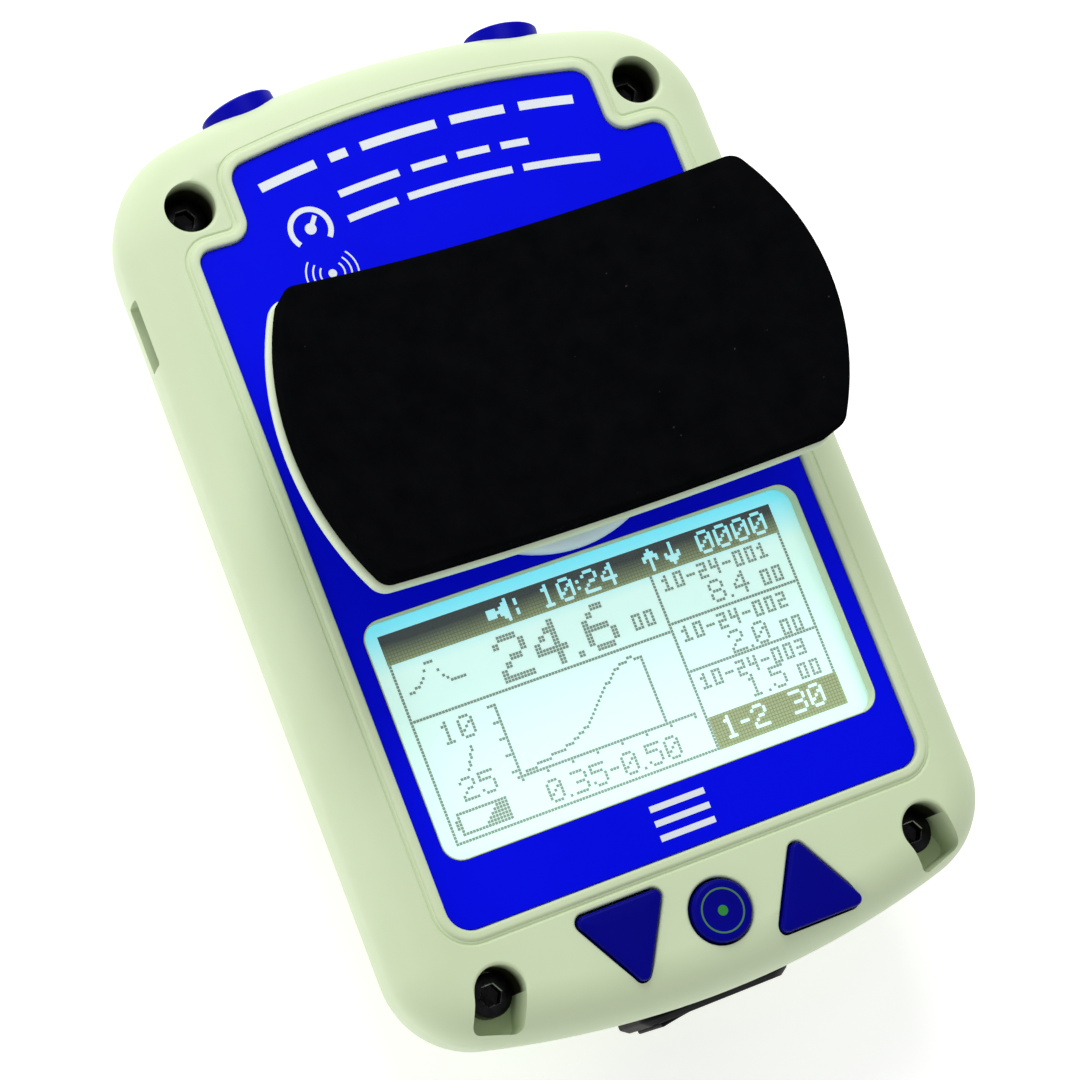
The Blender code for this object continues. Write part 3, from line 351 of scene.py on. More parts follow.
# Painted light: a lighter copy of the keys' blue plastic for the triggers, which face the light differently.
TRIGGER_BLUE_PAINTED_LIGHT = moulded("trigger_blue_painted_light", (0.0, 0.0, 0.40), (0.0, 0.0, 0.35), 0.4, strength=0.3, specular=0.06)
COLLAR = moulded("collar_plastic", (0.74, 0.90, 0.98), (0.71, 0.87, 0.95), 0.4)
PLATE = moulded("plate_plastic", (0.68, 0.78, 0.56), (0.65, 0.75, 0.53), 0.4, specular=0.3)
BLACK = moulded("black_plastic", (0.005, 0.005, 0.006), (0.003, 0.003, 0.004), 0.48, specular=0.08)
FLANGE_WHITE = moulded("socket_white", (0.82, 0.83, 0.78), (0.78, 0.79, 0.74), 0.45)
BLACK_STEEL = machined("black_steel", (0.022, 0.022, 0.025), (0.008, 0.008, 0.009), 0.34)
STEEL = machined("steel", (0.62, 0.63, 0.65), (0.45, 0.46, 0.48), 0.32)
# Partly wear and partly painted glint: bright steel for the rim round the screw sockets, where highlights
# show.
WORN_STEEL_AND_GLINT = machined("worn_steel_and_painted_glint", (0.75, 0.76, 0.77), (0.5, 0.51, 0.52), 0.25)
WELL = painted_well_shade()
FOAM = foam_material()
SCREEN = screen_material()
SCREEN_DOT = dot_material("screen_dots", (0.31, 0.42, 0.34), (0.08, 0.14, 0.14))
SCREEN_FIELD = dot_material("screen_fields", (0.50, 0.60, 0.28), (0.006, 0.02, 0.035))
SCREEN_SHADOW = dot_material("screen_shadow", (0.25, 0.31, 0.14), (0.004, 0.012, 0.02))
CLEAR = clear_material()

SLOT_MATERIALS = {
    "case_plastic": CASE,
    "label_blue": LABEL,
    "button_blue": BLUE,
    "foam": FOAM,
    "black_plastic": BLACK,
    "inner_plastic": moulded("inner_plastic", (0.05, 0.05, 0.055), (0.035, 0.035, 0.04), 0.5),
    "rubber": moulded("rubber", (0.025, 0.025, 0.025), (0.015, 0.015, 0.015), 0.75),
    "lcd": SCREEN,
    "clear_window": CLEAR,
    "backlight": moulded("backlight", (0.9, 0.96, 1.0), (0.84, 0.92, 0.98), 0.45, strength=0.1),
    "black_steel": BLACK_STEEL,
    "steel": STEEL,
    "aluminium": machined("aluminium", (0.78, 0.79, 0.81), (0.66, 0.67, 0.69), 0.38),
    "brass": machined("brass", (0.82, 0.64, 0.3), (0.66, 0.5, 0.2), 0.34),
    "board_green": board_material(),
    "chip": moulded("chip", (0.03, 0.03, 0.034), (0.02, 0.02, 0.023), 0.55),
    "cell_sleeve": moulded("cell_sleeve", (0.08, 0.32, 0.2), (0.06, 0.26, 0.16), 0.3, strength=0.1),
}


# ---- outlines


def mm(*points, z=0.0):
    """Profile points given in millimetres, the second value of each above z."""
    return [(a * MM, z + b * MM) for a, b in points]


def quarter(steps):
    """Angles from 0 to a right angle."""
    return [math.radians(90 * k / steps) for k in range(steps + 1)]


def arc(centre, radius, start, end, steps):
    """Points along an arc, from start to end in radians, both included."""
    turns = [start + (end - start) * i / steps for i in range(steps + 1)]
    return [(centre[0] + radius * math.cos(a), centre[1] + radius * math.sin(a)) for a in turns]


def body_outline(half_width, half_length, inset=0.0):
    """The body seen from the front: straight sides, bowed ends, round corners."""
    points = []
    bow = END_BOW_RADIUS - inset
    width = half_width - inset
    length = half_length - inset
    for sign, corner in ((1, TOP_CORNER), (-1, BOTTOM_CORNER)):
        radius = corner - inset
        bow_y = length - bow
        corner_x = width - radius
        corner_y = bow_y + math.sqrt((bow - radius) ** 2 - corner_x**2)
        turn = math.atan2(corner_y - bow_y, corner_x)
        half = arc((corner_x, corner_y), radius, 0, turn, 14)
        half += arc((0, bow_y), bow, turn, math.pi - turn, 26)[1:-1]
        half += arc((-corner_x, corner_y), radius, math.pi - turn, math.pi, 14)
        points += [(sign * x, sign * y) for x, y in half]
    return points


def rounded(corners, steps=8):
    """A closed outline through corners (x, y, radius), each one rounded by its radius."""
    points = []
    for i, (x, y, radius) in enumerate(corners):
        here = Vector((x, y))
        back = (Vector(corners[i - 1][:2]) - here).normalized()
        ahead = (Vector(corners[(i + 1) % len(corners)][:2]) - here).normalized()
        half = back.angle(ahead) / 2
        middle = here + (back + ahead).normalized() * radius / math.sin(half)
        foot = here + back * radius / math.tan(half) - middle
        sweep = math.pi - 2 * half
        turn = -1 if back.cross(ahead) > 0 else 1
        for k in range(steps + 1):
            spoke = Matrix.Rotation(turn * sweep * k / steps, 2) @ foot
            points.append(tuple(middle + spoke))
    return points


def rectangle(width, height, corner, centre=(0, 0)):
    """A rectangle with rounded corners, as a function of how far it grows."""
    cx, cy = centre
    signs = ((1, -1), (1, 1), (-1, 1), (-1, -1))

    def outline(grow=0.0):
        w, h = width / 2 + grow, height / 2 + grow
        return rounded([(cx + a * w, cy + b * h, corner + grow) for a, b in signs])

    return outline


def disc(radius, centre=(0, 0), steps=64):
    """A circle, as a function of how far it grows."""
    return lambda grow=0.0: arc(centre, radius + grow, 0, math.tau, steps)[:-1]


OPENING_OUTLINE = rectangle(*OPENING, OPENING_CORNER, (0, DISPLAY_Y))
BEZEL_OUTLINE = rectangle(2 * BEZEL_HIGH.x, BEZEL_HIGH.z - BEZEL_LOW.z, BEZEL_CORNER)


def label_outline(grow=0.0):
    """The label: bowed top, straight sides and S-shaped notches round the upper screw wells."""
    side = LABEL_HALF_WIDTH + grow
    bottom = LABEL_BOTTOM_Y - grow
    notch_x = NOTCH_X + grow
    notch_y = NOTCH_Y + grow
    radius = LABEL_TOP_RADIUS + grow
    slope = math.asin(22 * MM / LABEL_TOP_RADIUS)
    apex = LABEL_PEAK_Y + grow + radius * (1 / math.cos(slope) - 1)
    shoulder = apex - notch_x * math.tan(slope)
    right = [
        (side, bottom, 3.2 * MM + grow),
        (side, notch_y, 1.9 * MM + grow),
        (notch_x, notch_y, 2.6 * MM - grow),
        (notch_x, shoulder, 2.6 * MM + grow),
    ]
    left = [(-x, y, r) for x, y, r in reversed(right)]
    return rounded(right + [(0, apex, radius - 1 * MM)] + left, 9)


def triangle(pointing):
    """A face key's triangle, pointing up the body (+1) or down it (-1), as a function of its growth."""

    def outline(grow=0.0):
        low = -KEY_HEIGHT / 2 - grow
        high = KEY_HEIGHT / 2 + 1.8 * grow
        half = KEY_BASE / 2 + 1.6 * grow
        corner = max(KEY_CORNER + grow, 0.1 * MM)
        corners = [(half, low, corner), (0, high, corner), (-half, low, corner)]
        place = pointing * KEY_X
        return [(place + pointing * x, KEY_Y + pointing * y) for x, y in rounded(corners)]

    return outline


def well_slot(centre, side, radius, length):
    """A round-ended slot that runs outward from a lower screw, as a function of its growth."""
    direction = Vector((side * math.sin(WELL_SLOT_ANGLE), -math.cos(WELL_SLOT_ANGLE)))
    across = Vector((-direction.y, direction.x))
    start = math.atan2(across.y, across.x)

    def outline(grow=0.0):
        points = arc(centre, radius + grow, start, start + math.pi, 24)
        end = Vector(centre) + direction * length
        corner = min(1.1 * MM, length / 2)
        reach = radius + grow - corner
        for way, first in ((-1, start + math.pi), (1, start + 1.5 * math.pi)):
            middle = end - direction * corner + across * way * reach
            points += arc(middle, corner, first, first + math.pi / 2, 5)
        return points

    return outline


def well_outline(x, y, radius, length, steps=64):
    """A screw well from above: round at the top end, a slot that runs outward at the bottom end."""
    if y > 0:
        return disc(radius, (x, y), steps)
    return well_slot((x, y), 1 if x > 0 else -1, radius, length)


def stirrup_outline(inset=0.0):
    """A disc cut by two straight edges, with its four corners rounded."""
    radius = STIRRUP_RADIUS - inset
    high = STIRRUP_HALF_HEIGHT - inset
    corner = STIRRUP_CORNER - inset
    corner_y = high - corner
    corner_x = math.sqrt((radius - corner) ** 2 - corner_y**2)
    turn = math.atan2(corner_y, corner_x)
    right = arc((corner_x, -corner_y), corner, -math.pi / 2, -turn, 7)
    right += arc((0, 0), radius, -turn, turn, 22)[1:-1]
    right += arc((corner_x, corner_y), corner, turn, math.pi / 2, 7)
    top = right[-1]
    straight = [(top[0] * (1 - k / 8), top[1]) for k in range(1, 16)]
    points = right + straight + [(-x, -y) for x, y in right]
    points += [(-x, -y) for x, y in straight]
    return [(x, POST_Y + y) for x, y in points]


# ---- solids


def linked(name, data):
    """A new object for some data, in the scene."""
    obj = bpy.data.objects.new(name, data)
    bpy.context.scene.collection.objects.link(obj)
    return obj


def modify(obj, kind, **settings):
    modifier = obj.modifiers.new(kind, kind)
    for name, value in settings.items():
        setattr(modifier, name, value)


def finish_mesh(name, bm, *mats, sharp=32):
    """An object from a bmesh, smooth except over sharp edges."""
    bmesh.ops.recalc_face_normals(bm, faces=bm.faces[:])
    mesh = bpy.data.meshes.new(name)
    bm.to_mesh(mesh)
    bm.free()
    for mat in mats:
        mesh.materials.append(mat)
    mesh.shade_smooth()
    mesh.set_sharp_from_angle(angle=math.radians(sharp))
    return linked(name, mesh)


def add_loops(bm, loops, cyclic=False):
    """Joins loops of equal point counts into a skin: closed by caps, or by joining last to first."""
    rings = [[bm.verts.new(point) for point in loop] for loop in loops]
    pairs = list(zip(rings, rings[1:]))
    if cyclic:
        pairs.append((rings[-1], rings[0]))
    for below, above in pairs:
        for i in range(len(below)):
            bm.faces.new((below[i - 1], below[i], above[i], above[i - 1]))
    if not cyclic:
        bm.faces.new(rings[0])
        bm.faces.new(rings[-1])


def loops_solid(name, loops, *mats, cyclic=False, sharp=32):
    bm = bmesh.new()
    add_loops(bm, loops, cyclic)
    return finish_mesh(name, bm, *mats, sharp=sharp)


def swept(outline, profile):
    """Loops for a profile of (growth, z) swept round an outline."""
    return [[(x, y, z) for x, y in outline(grow)] for grow, z in profile]


def turned(profile, centre=(0, 0), steps=64):
    """Loops for a profile of (radius, z) turned about a vertical axis."""
    return [[(x, y, z) for x, y in disc(r, centre, steps)()] for r, z in profile]


def fillet(grow, z, radius, steps=5):
    """The end of a cutter's profile: from a wall at grow, flaring to run level at height z."""
    rim = [(grow + radius * (1 - math.cos(a)), z - radius * (1 - math.sin(a))) for a in quarter(steps)]
    return rim + [(grow + radius + 0.15 * MM, z + 0.005 * MM), (grow + radius + 0.15 * MM, z + 3 * MM)]


def round_over(grow, z, radius, steps=4):
    """The end of a solid's profile: a wall at grow that rounds over inward to a level top at z."""
    return [(grow - radius * (1 - math.cos(a)), z - radius * (1 - math.sin(a))) for a in quarter(steps)]


def box_loops(low, high):
    (x0, y0, z0), (x1, y1, z1) = low, high
    corners = ((x0, y0), (x1, y0), (x1, y1), (x0, y1))
    return [[(x, y, z) for x, y in corners] for z in (z0, z1)]


def along(centre, direction, outline_loops):
    """Turns loops built about +Z to point in direction with +Y kept up, then moves them to centre."""
    turn = Vector(direction).to_track_quat("Z", "Y").to_matrix()
    return [[tuple(Vector(centre) + turn @ Vector(p)) for p in loop] for loop in outline_loops]


def baked(obj):
    """Applies an object's modifiers."""
    graph = bpy.context.evaluated_depsgraph_get()
    mesh = bpy.data.meshes.new_from_object(obj.evaluated_get(graph))
    old = obj.data
    obj.modifiers.clear()
    obj.data = mesh
    bpy.data.meshes.remove(old)


def combine(obj, operation, tool):
    """Cuts or joins obj with another object, which is used up."""
    modify(obj, "BOOLEAN", operation=operation, solver="EXACT", object=tool)
    baked(obj)
    bpy.data.objects.remove(tool, do_unlink=True)


def boolean(obj, operation, *groups, cyclic=False):
    """Cuts or joins obj with groups of solids, each solid given by its loops, and apart from the others."""
    for group in groups:
        bm = bmesh.new()
        for loops in group:
            add_loops(bm, loops, cyclic)
        combine(obj, operation, finish_mesh("tool", bm))


def even_normals(obj, sharp=32):
    """Keeps flat faces flat beside their rounded edges."""
    obj.data.set_sharp_from_angle(angle=math.radians(sharp))
    modify(obj, "WEIGHTED_NORMAL", mode="FACE_AREA", weight=80, keep_sharp=True)
    return obj


def place(obj, body, slot, *nodes):
    """Puts a piece on its body and hides the CAD nodes that it stands for. Its slot is not used."""
    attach(obj, body)
    if nodes:
        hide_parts(*nodes)


# ---- housings


def back_ring(inset, z):
    """(half width, half length) of the tapering back at a height."""
    sine = (WIDEST_Z - z) / (WIDEST_Z - inset)
    cosine = math.sqrt(max(0.0, 1 - sine**2))
    side = HALF_WIDTH - (BACK_INSET_SIDE - inset) * (1 - cosine)
    end = HALF_LENGTH - BACK_INSET_END * (1 - cosine)
    return [(x, y, z) for x, y in body_outline(side, end, inset)]


def rear_loops(inset, top, steps=14):
    """Loops from the flat back up to top, closer together where the wall turns fast."""
    top_turn = math.asin((WIDEST_Z - top) / (WIDEST_Z - inset))
    loops = []
    for k in range(steps + 1):
        turn = math.pi / 2 + (top_turn - math.pi / 2) * k / steps
        loops.append(back_ring(inset, WIDEST_Z - (WIDEST_Z - inset) * math.sin(turn)))
    return loops


def face_loops(inset, low, steps=12):
    """Loops from low up over the rounded front edge to the flat face."""
    loops = [back_ring(inset, low + (WIDEST_Z - low) * k / 4) for k in range(5)]
    for angle in quarter(steps)[1:]:
        reach = (FACE_EDGE - inset) * (1 - math.cos(angle)) + inset
        z = WIDEST_Z + (FACE_EDGE - inset) * math.sin(angle)
        loops.append([(x, y, z) for x, y in body_outline(HALF_WIDTH, HALF_LENGTH, reach)])
    return loops


def screw_places():
    """(number, x, y) of the four case screws."""
    tx, ty = TOP_SCREW
    bx, by = BOTTOM_SCREW
    return [(1, -tx, ty), (2, tx, ty), (3, -bx, by), (4, bx, by)]


def trigger_frame(side):
    """(point on the end wall, outward direction) of a trigger button."""
    lean = math.asin(TRIGGER_X / END_BOW_RADIUS)
    outward = Vector((side * math.sin(lean), math.cos(lean), 0))
    middle = Vector((0, HALF_LENGTH - END_BOW_RADIUS, TRIGGER_Z))
    return middle + outward * END_BOW_RADIUS, outward


def switch_cutters():
    """The flat seat for the switch's bezel and the hole for its body."""
    seat = along((0, SWITCH_SEAT_Y, SWITCH_Z), (0, -1, 0), swept(BEZEL_OUTLINE, [(SEAM, 0), (SEAM, 5 * MM)]))
    wide, tall = SWITCH_BODY[0] / 2 + SEAM, SWITCH_BODY[1] / 2 + SEAM
    low = (-wide, SWITCH_SEAT_Y - 4 * MM, SWITCH_Z - tall)
    hole = box_loops(low, (wide, SWITCH_SEAT_Y + 6 * MM, SWITCH_Z + tall))
    return [seat], [hole]


def face_cutters():
    """What is cut into the face: the label's pocket, the holes of the keys and the screw wells."""
    pocket = mm((0.07, 0.26), (0.2, 0.36), (0.42, 0.405), (0.42, 3), z=FACE_Z)
    pocket = [(0, POCKET_Z), (0, FACE_Z + 0.12 * MM)] + pocket
    cuts = [swept(label_outline, pocket)]
    for pointing in (-1, 1):
        profile = [(SEAM, 30 * MM)] + fillet(SEAM, FACE_Z, 0.4 * MM)
        cuts.append(swept(triangle(pointing), profile))
    radius = SELECT_RADIUS + SEAM
    profile = [(radius, 30 * MM)] + fillet(radius, FACE_Z, 0.4 * MM)
    cuts.append(turned(profile, (0, KEY_Y)))
    for _, x, y in screw_places():
        outline = well_outline(x, y, WELL_RADIUS, WELL_SLOT)
        profile = [(0, WELL_FLOOR_Z)] + fillet(0, FACE_Z, 0.5 * MM)
        cuts.append(swept(outline, profile))
    return cuts


def through_cutters():
    """The holes right through the front shell: display, load post, triggers and data socket."""
    holes = [swept(OPENING_OUTLINE, [(0, 30 * MM)] + fillet(0, LIP_Z, 0.2 * MM))]
    holes.append(turned(mm((7.3, 30), (7.3, 40)), (0, POST_Y)))
    for side in (-1, 1):
        wall, outward = trigger_frame(side)
        radius = TRIGGER_RADIUS + SEAM
        bore = turned([(radius, -6 * MM), (radius, 3 * MM)])
        holes.append(along(wall, outward, bore))
    slot = swept(rectangle(8.9 * MM, 4.4 * MM, 0.5 * MM), mm((0, -4), (0, 2)))
    holes.append(along((-HALF_WIDTH, USB_Y, USB_Z), (-1, 0, 0), slot))
    return holes


def make_front_shell():
    shell = loops_solid("front_shell", face_loops(0, PARTING_Z), CASE)
    bead = [(-0.5, -1), (-0.5, 0.4), (0.8, 0.4), (1.0, 0.36), (1.18, 0.24), (1.3, 0.06), (1.3, -1)]
    boolean(shell, "UNION", [swept(label_outline, mm(*bead, z=FACE_Z))], cyclic=True)

    columns = []
    for _, x, y in screw_places():
        outline = well_outline(x, y, COLUMN_RADIUS, WELL_SLOT + 4 * MM, 32)
        columns.append(swept(outline, [(0, COLUMN_FOOT_Z), (0, FACE_Z)]))
    cavity = loops_solid("cavity", face_loops(WALL, PARTING_Z - 2 * MM, 5))
    boolean(cavity, "DIFFERENCE", columns)
    combine(shell, "DIFFERENCE", cavity)

    groove = [(1.42, 0.3), (1.42, 0.004), (1.54, -0.05), (1.62, -0.16), (1.72, -0.22), (1.82, -0.16)]
    groove += [(1.90, -0.05), (2.02, 0.004), (2.02, 0.3)]
    boolean(shell, "DIFFERENCE", face_cutters())
    boolean(shell, "DIFFERENCE", [swept(label_outline, mm(*groove, z=FACE_Z))], cyclic=True)
    foot = POCKET_Z - 1 * MM
    lip = [(-1 * MM, foot), (-1 * MM, LIP_Z), (LIP_WIDTH - 0.15 * MM, LIP_Z)]
    lip += [(LIP_WIDTH - 0.04 * MM, LIP_Z - 0.04 * MM), (LIP_WIDTH, LIP_Z - 0.15 * MM), (LIP_WIDTH, foot)]
    boolean(shell, "UNION", [swept(OPENING_OUTLINE, lip)], cyclic=True)
    bore = mm((1.8, 20), (1.8, WELL_FLOOR_Z / MM + 1))
    clearances = [turned(bore, (x, y), 24) for _, x, y in screw_places()]
    boolean(shell, "DIFFERENCE", through_cutters(), clearances, *switch_cutters())
    even_normals(shell)

    # Painted shade: the faces down the screw wells get the darkened well material, and the lit floors of the
    # lower slots keep the case colour.
    shell.data.materials.append(WELL)
    for face in shell.data.polygons:
        x, y, z = face.center
        reach = min(math.hypot(x - px, y - py) for _, px, py in screw_places())
        in_well = reach < WELL_RADIUS + 0.05 * MM and WELL_FLOOR_Z - 1 * MM < z < FACE_Z - 0.3 * MM
        lit_floor = y < 0 and face.normal.z > 0.7
        if in_well and not lit_floor:
            face.material_index = 1
    place(shell, "housing", "case_plastic", "front_housing")


def make_rear_shell():
    rim_z = PARTING_Z - SEAM
    shell = loops_solid("rear_shell", rear_loops(0, rim_z), CASE)
    cavity = loops_solid("cavity", rear_loops(WALL, PARTING_Z + 2 * MM, 7))
    posts = [(x, y, BOSS_RADIUS, COLUMN_FOOT_Z - SEAM) for _, x, y in screw_places()]
    posts += [(s * x, y, 3.2 * MM, 24.6 * MM) for x, y in BOARD_POSTS for s in (-1, 1)]
    feet = [turned([(r, 0), (r, 25 * MM)], (x, y), 24) for x, y, r, _ in posts]
    boolean(cavity, "DIFFERENCE", feet)
    combine(shell, "DIFFERENCE", cavity)
    risers, bores = [], []
    for x, y, radius, top in posts:
        profile = [(radius - 0.1 * MM, PARTING_Z - 3 * MM), (radius - 0.1 * MM, top)]
        risers.append(turned(profile, (x, y), 24))
        bore = mm((1.8, 12.8), (1.8, 30)) if radius == BOSS_RADIUS else mm((1.5, 17.5), (1.5, 30))
        bores.append(turned(bore, (x, y), 20))
    boolean(shell, "UNION", risers)
    size = (2 * DOOR_HALF_WIDTH, DOOR_Y[1] - DOOR_Y[0])
    door = rectangle(*size, DOOR_CORNER, (0, sum(DOOR_Y) / 2))
    opening = [swept(door, mm((0.25, -1), (0.25, 0), (0, 0.25), (0, 9)))]
    rim = back_ring(0, PARTING_Z)
    half = max(p[0] for p in rim), max(p[1] for p in rim)

    def rim_outline(grow=0.0):
        return body_outline(half[0], half[1], -grow)

    channel = [(-0.4 * MM, rim_z - 1.1 * MM), (-0.4 * MM, rim_z + 1 * MM)]
    channel += [(-2 * MM, rim_z + 1 * MM), (-2 * MM, rim_z - 1.1 * MM)]
    boolean(shell, "DIFFERENCE", bores, opening)
    boolean(shell, "DIFFERENCE", [swept(rim_outline, channel)], cyclic=True)
    boolean(shell, "DIFFERENCE", *switch_cutters())
    even_normals(shell)
    place(shell, "housing", "case_plastic", "rear_housing")


def make_door():
    """The battery door: the same skin as the back, trimmed, with finger grooves and its screw seat."""
    door = loops_solid("door_panel", rear_loops(0, 9 * MM, 10), CASE)
    size = (2 * (DOOR_HALF_WIDTH - SEAM), DOOR_Y[1] - DOOR_Y[0] - 2 * SEAM)
    outline = rectangle(*size, DOOR_CORNER - SEAM, (0, sum(DOOR_Y) / 2))
    boolean(door, "INTERSECT", [swept(outline, mm((-0.2, -1), (-0.2, 0), (0, 0.25), (0, 8)))])
    boolean(door, "DIFFERENCE", [rear_loops(WALL, 12 * MM, 8)])
    seat = mm((1.6, 4), (1.6, 1.5), (2.6, 1.5), (2.6, 0.3), (2.9, -0.01), (2.9, -1))
    cuts = [turned(seat, (0, DOOR_SCREW_Y), 40)]
    for k in range(5):
        groove = rectangle((16 - 1.6 * k) * MM, 0.9 * MM, 0.43 * MM, (0, -9 * MM - 1.9 * MM * k))
        profile = mm((0.1, -1), (0.1, 0), (-0.1, 0.3), (-0.3, 0.45))
        cuts.append(swept(groove, profile))
    boolean(door, "DIFFERENCE", cuts)
    even_normals(door)
    place(door, "housing", "case_plastic", "battery_door")


# ---- label and display


def make_label():
    top = LABEL_Z
    profile = [(-0.12 * MM, LABEL_LOW.z)] + round_over(-0.12 * MM, top, 0.12 * MM)
    label = loops_solid("face_label", swept(label_outline, profile), LABEL)
    gap = LIP_WIDTH + 0.05 * MM
    flare = [(gap, LABEL_LOW.z - 1 * MM)] + fillet(gap, top, 0.12 * MM, 3)
    collar = disc(COLLAR_FOOT_RADIUS + 0.2 * MM, (0, POST_Y), 96)
    cuts = [swept(OPENING_OUTLINE, flare), swept(collar, flare)]
    boolean(label, "DIFFERENCE", cuts)
    even_normals(label)
    place(label, "housing", "label_blue", "label_overlay")


def plate_bar(bm, points, width):
    """A flat printed stroke of one width through points, laid on the label."""
    low, high = LABEL_Z - 0.01 * MM, LABEL_Z + 0.02 * MM
    sides = []
    for i, point in enumerate(points):
        here = Vector(point)
        ahead = Vector(points[min(i + 1, len(points) - 1)]) - Vector(points[max(i - 1, 0)])
        across = Vector((-ahead.y, ahead.x)).normalized() * width / 2
        sides.append((here + across, here - across))
    ring = [left for left, _ in sides] + [right for _, right in reversed(sides)]
    add_loops(bm, [[(p.x, p.y, z) for p in ring] for z in (low, high)])


def make_label_marks():
    """Plain printed marks: rows of bars along the bowed top, a gauge, a wireless and a menu symbol."""
    bm = bmesh.new()
    centre_y = LABEL_PEAK_Y - LABEL_TOP_RADIUS
    rows = (
        (4.0, 1.2, ((-22, -14), (-12, -9.5), (-7.5, 3), (5, 12.5), (14.5, 22))),
        (8.8, 0.95, ((-12.5, -4), (-2.2, 2.6), (4.2, 8.6), (10.2, 14))),
        (12.2, 0.95, ((-12.5, -5.5), (-4, 10.5), (12, 22.5))),
    )
    for drop, width, bars in rows:
        radius = LABEL_TOP_RADIUS - drop * MM
        for first, last in bars:
            ends = math.pi / 2 - last * MM / radius, math.pi / 2 - first * MM / radius
            plate_bar(bm, arc((0, centre_y), radius, *ends, 10), width * MM)
    gauge = (-17.6 * MM, 43.2 * MM)
    plate_bar(bm, arc(gauge, 2.6 * MM, math.radians(-40), math.radians(220), 30), 0.7 * MM)
    plate_bar(bm, [gauge, (gauge[0] + 1.1 * MM, gauge[1] + 1.5 * MM)], 0.6 * MM)
    heart = (-17 * MM, 36.9 * MM)
    for side in (0, math.pi):
        for radius in (1.6, 2.5, 3.4):
            ends = side - math.radians(42), side + math.radians(42)
            plate_bar(bm, arc(heart, radius * MM, *ends, 12), 0.22 * MM)
    for centre, radius in ((heart, 0.55 * MM), (gauge, 0.75 * MM)):
        profile = [(radius, LABEL_Z - 0.01 * MM), (radius, LABEL_Z + 0.022 * MM)]
        add_loops(bm, turned(profile, centre, 24))
    for y in (-39.6, -41.5, -43.4):
        plate_bar(bm, [(-3.8 * MM, y * MM), (3.8 * MM, y * MM)], 0.8 * MM)
    marks = finish_mesh("label_marks", bm, INK)
    place(marks, "housing", "label_blue")


DIGITS = {
    "0": "01110 10001 10011 10101 11001 10001 01110",
    "1": "00100 01100 00100 00100 00100 00100 01110",
    "2": "01110 10001 00001 00110 01000 10000 11111",
    "3": "11110 00001 00001 01110 00001 00001 11110",
    "4": "00010 00110 01010 10010 11111 00010 00010",
    "5": "11111 10000 11110 00001 00001 10001 01110",
    "6": "00110 01000 10000 11110 10001 10001 01110",
    "7": "11111 00001 00010 00100 01000 01000 01000",
    "8": "01110 10001 10001 01110 10001 10001 01110",
    "9": "01110 10001 10001 01111 00001 00010 01100",
    ".": "0 0 0 0 0 0 1",
    ":": "0 0 1 0 1 0 0",
    "-": "000 000 000 111 000 000 000",
    " ": "000 000 000 000 000 000 000",
}
SMALL_DIGITS = {
    "0": "111 101 101 101 111",
    "1": "010 110 010 010 111",
    "2": "111 001 111 100 111",
    "3": "111 001 111 001 111",
    "4": "101 101 111 001 001",
    "5": "111 100 111 001 111",
    "-": "000 000 111 000 000",
}


class Screen:
    """The dark dots of the display, by column and by row from the top."""

    def __init__(self):
        self.dark = set()

    def fill(self, left, top, right, bottom):
        self.dark |= {(c, r) for c in range(left, right + 1) for r in range(top, bottom + 1)}

    def row(self, left, right, row):
        self.fill(left, row, right, row)

    def column(self, column, top, bottom):
        self.fill(column, top, column, bottom)

    def number(self, text, left, top, size=1, clear=False, font=DIGITS):
        """Writes digits, or clears them out of a dark bar."""
        block = [(i, j) for i in range(size) for j in range(size)]
        for sign in text:
            rows = font[sign].split()
            bits = [(c, r) for r, row in enumerate(rows) for c, bit in enumerate(row) if bit == "1"]
            cells = {(left + c * size + i, top + r * size + j) for c, r in bits for i, j in block}
            self.dark = self.dark - cells if clear else self.dark | cells
            left += (len(rows[0]) + 1) * size


def header_and_tag():
    """The two dark fields: the bar along the top with its signs, and the tag at the lower right."""
    screen = Screen()
    screen.fill(0, 0, DOTS[0] - 1, 8)
    screen.dark -= {(36 + c, 4 + r) for c in range(4) for r in range(-c, c + 1)}
    screen.dark -= {(33 + c, 3 + r) for c in range(3) for r in range(3)}
    screen.dark -= {(42, row) for row in (2, 3, 5, 6)}
    screen.number("10:24", 50, 1, clear=True)
    for c in range(-2, 3):
        screen.dark -= {(86 + c, 1 + abs(c)), (93 + c, 7 - abs(c))}
        screen.dark -= {(86 + c, 2 + abs(c)), (93 + c, 6 - abs(c))}
    screen.dark -= {(column, row) for column in (86, 93) for row in range(1, 8)}
    screen.number("0000", 102, 1, clear=True)
    screen.fill(DIVIDE + 1, 54, DOTS[0] - 1, DOTS[1] - 1)
    screen.number("30", 111, 55, clear=True)
    screen.number("1-2", DIVIDE + 4, 55, clear=True)
    return screen.dark


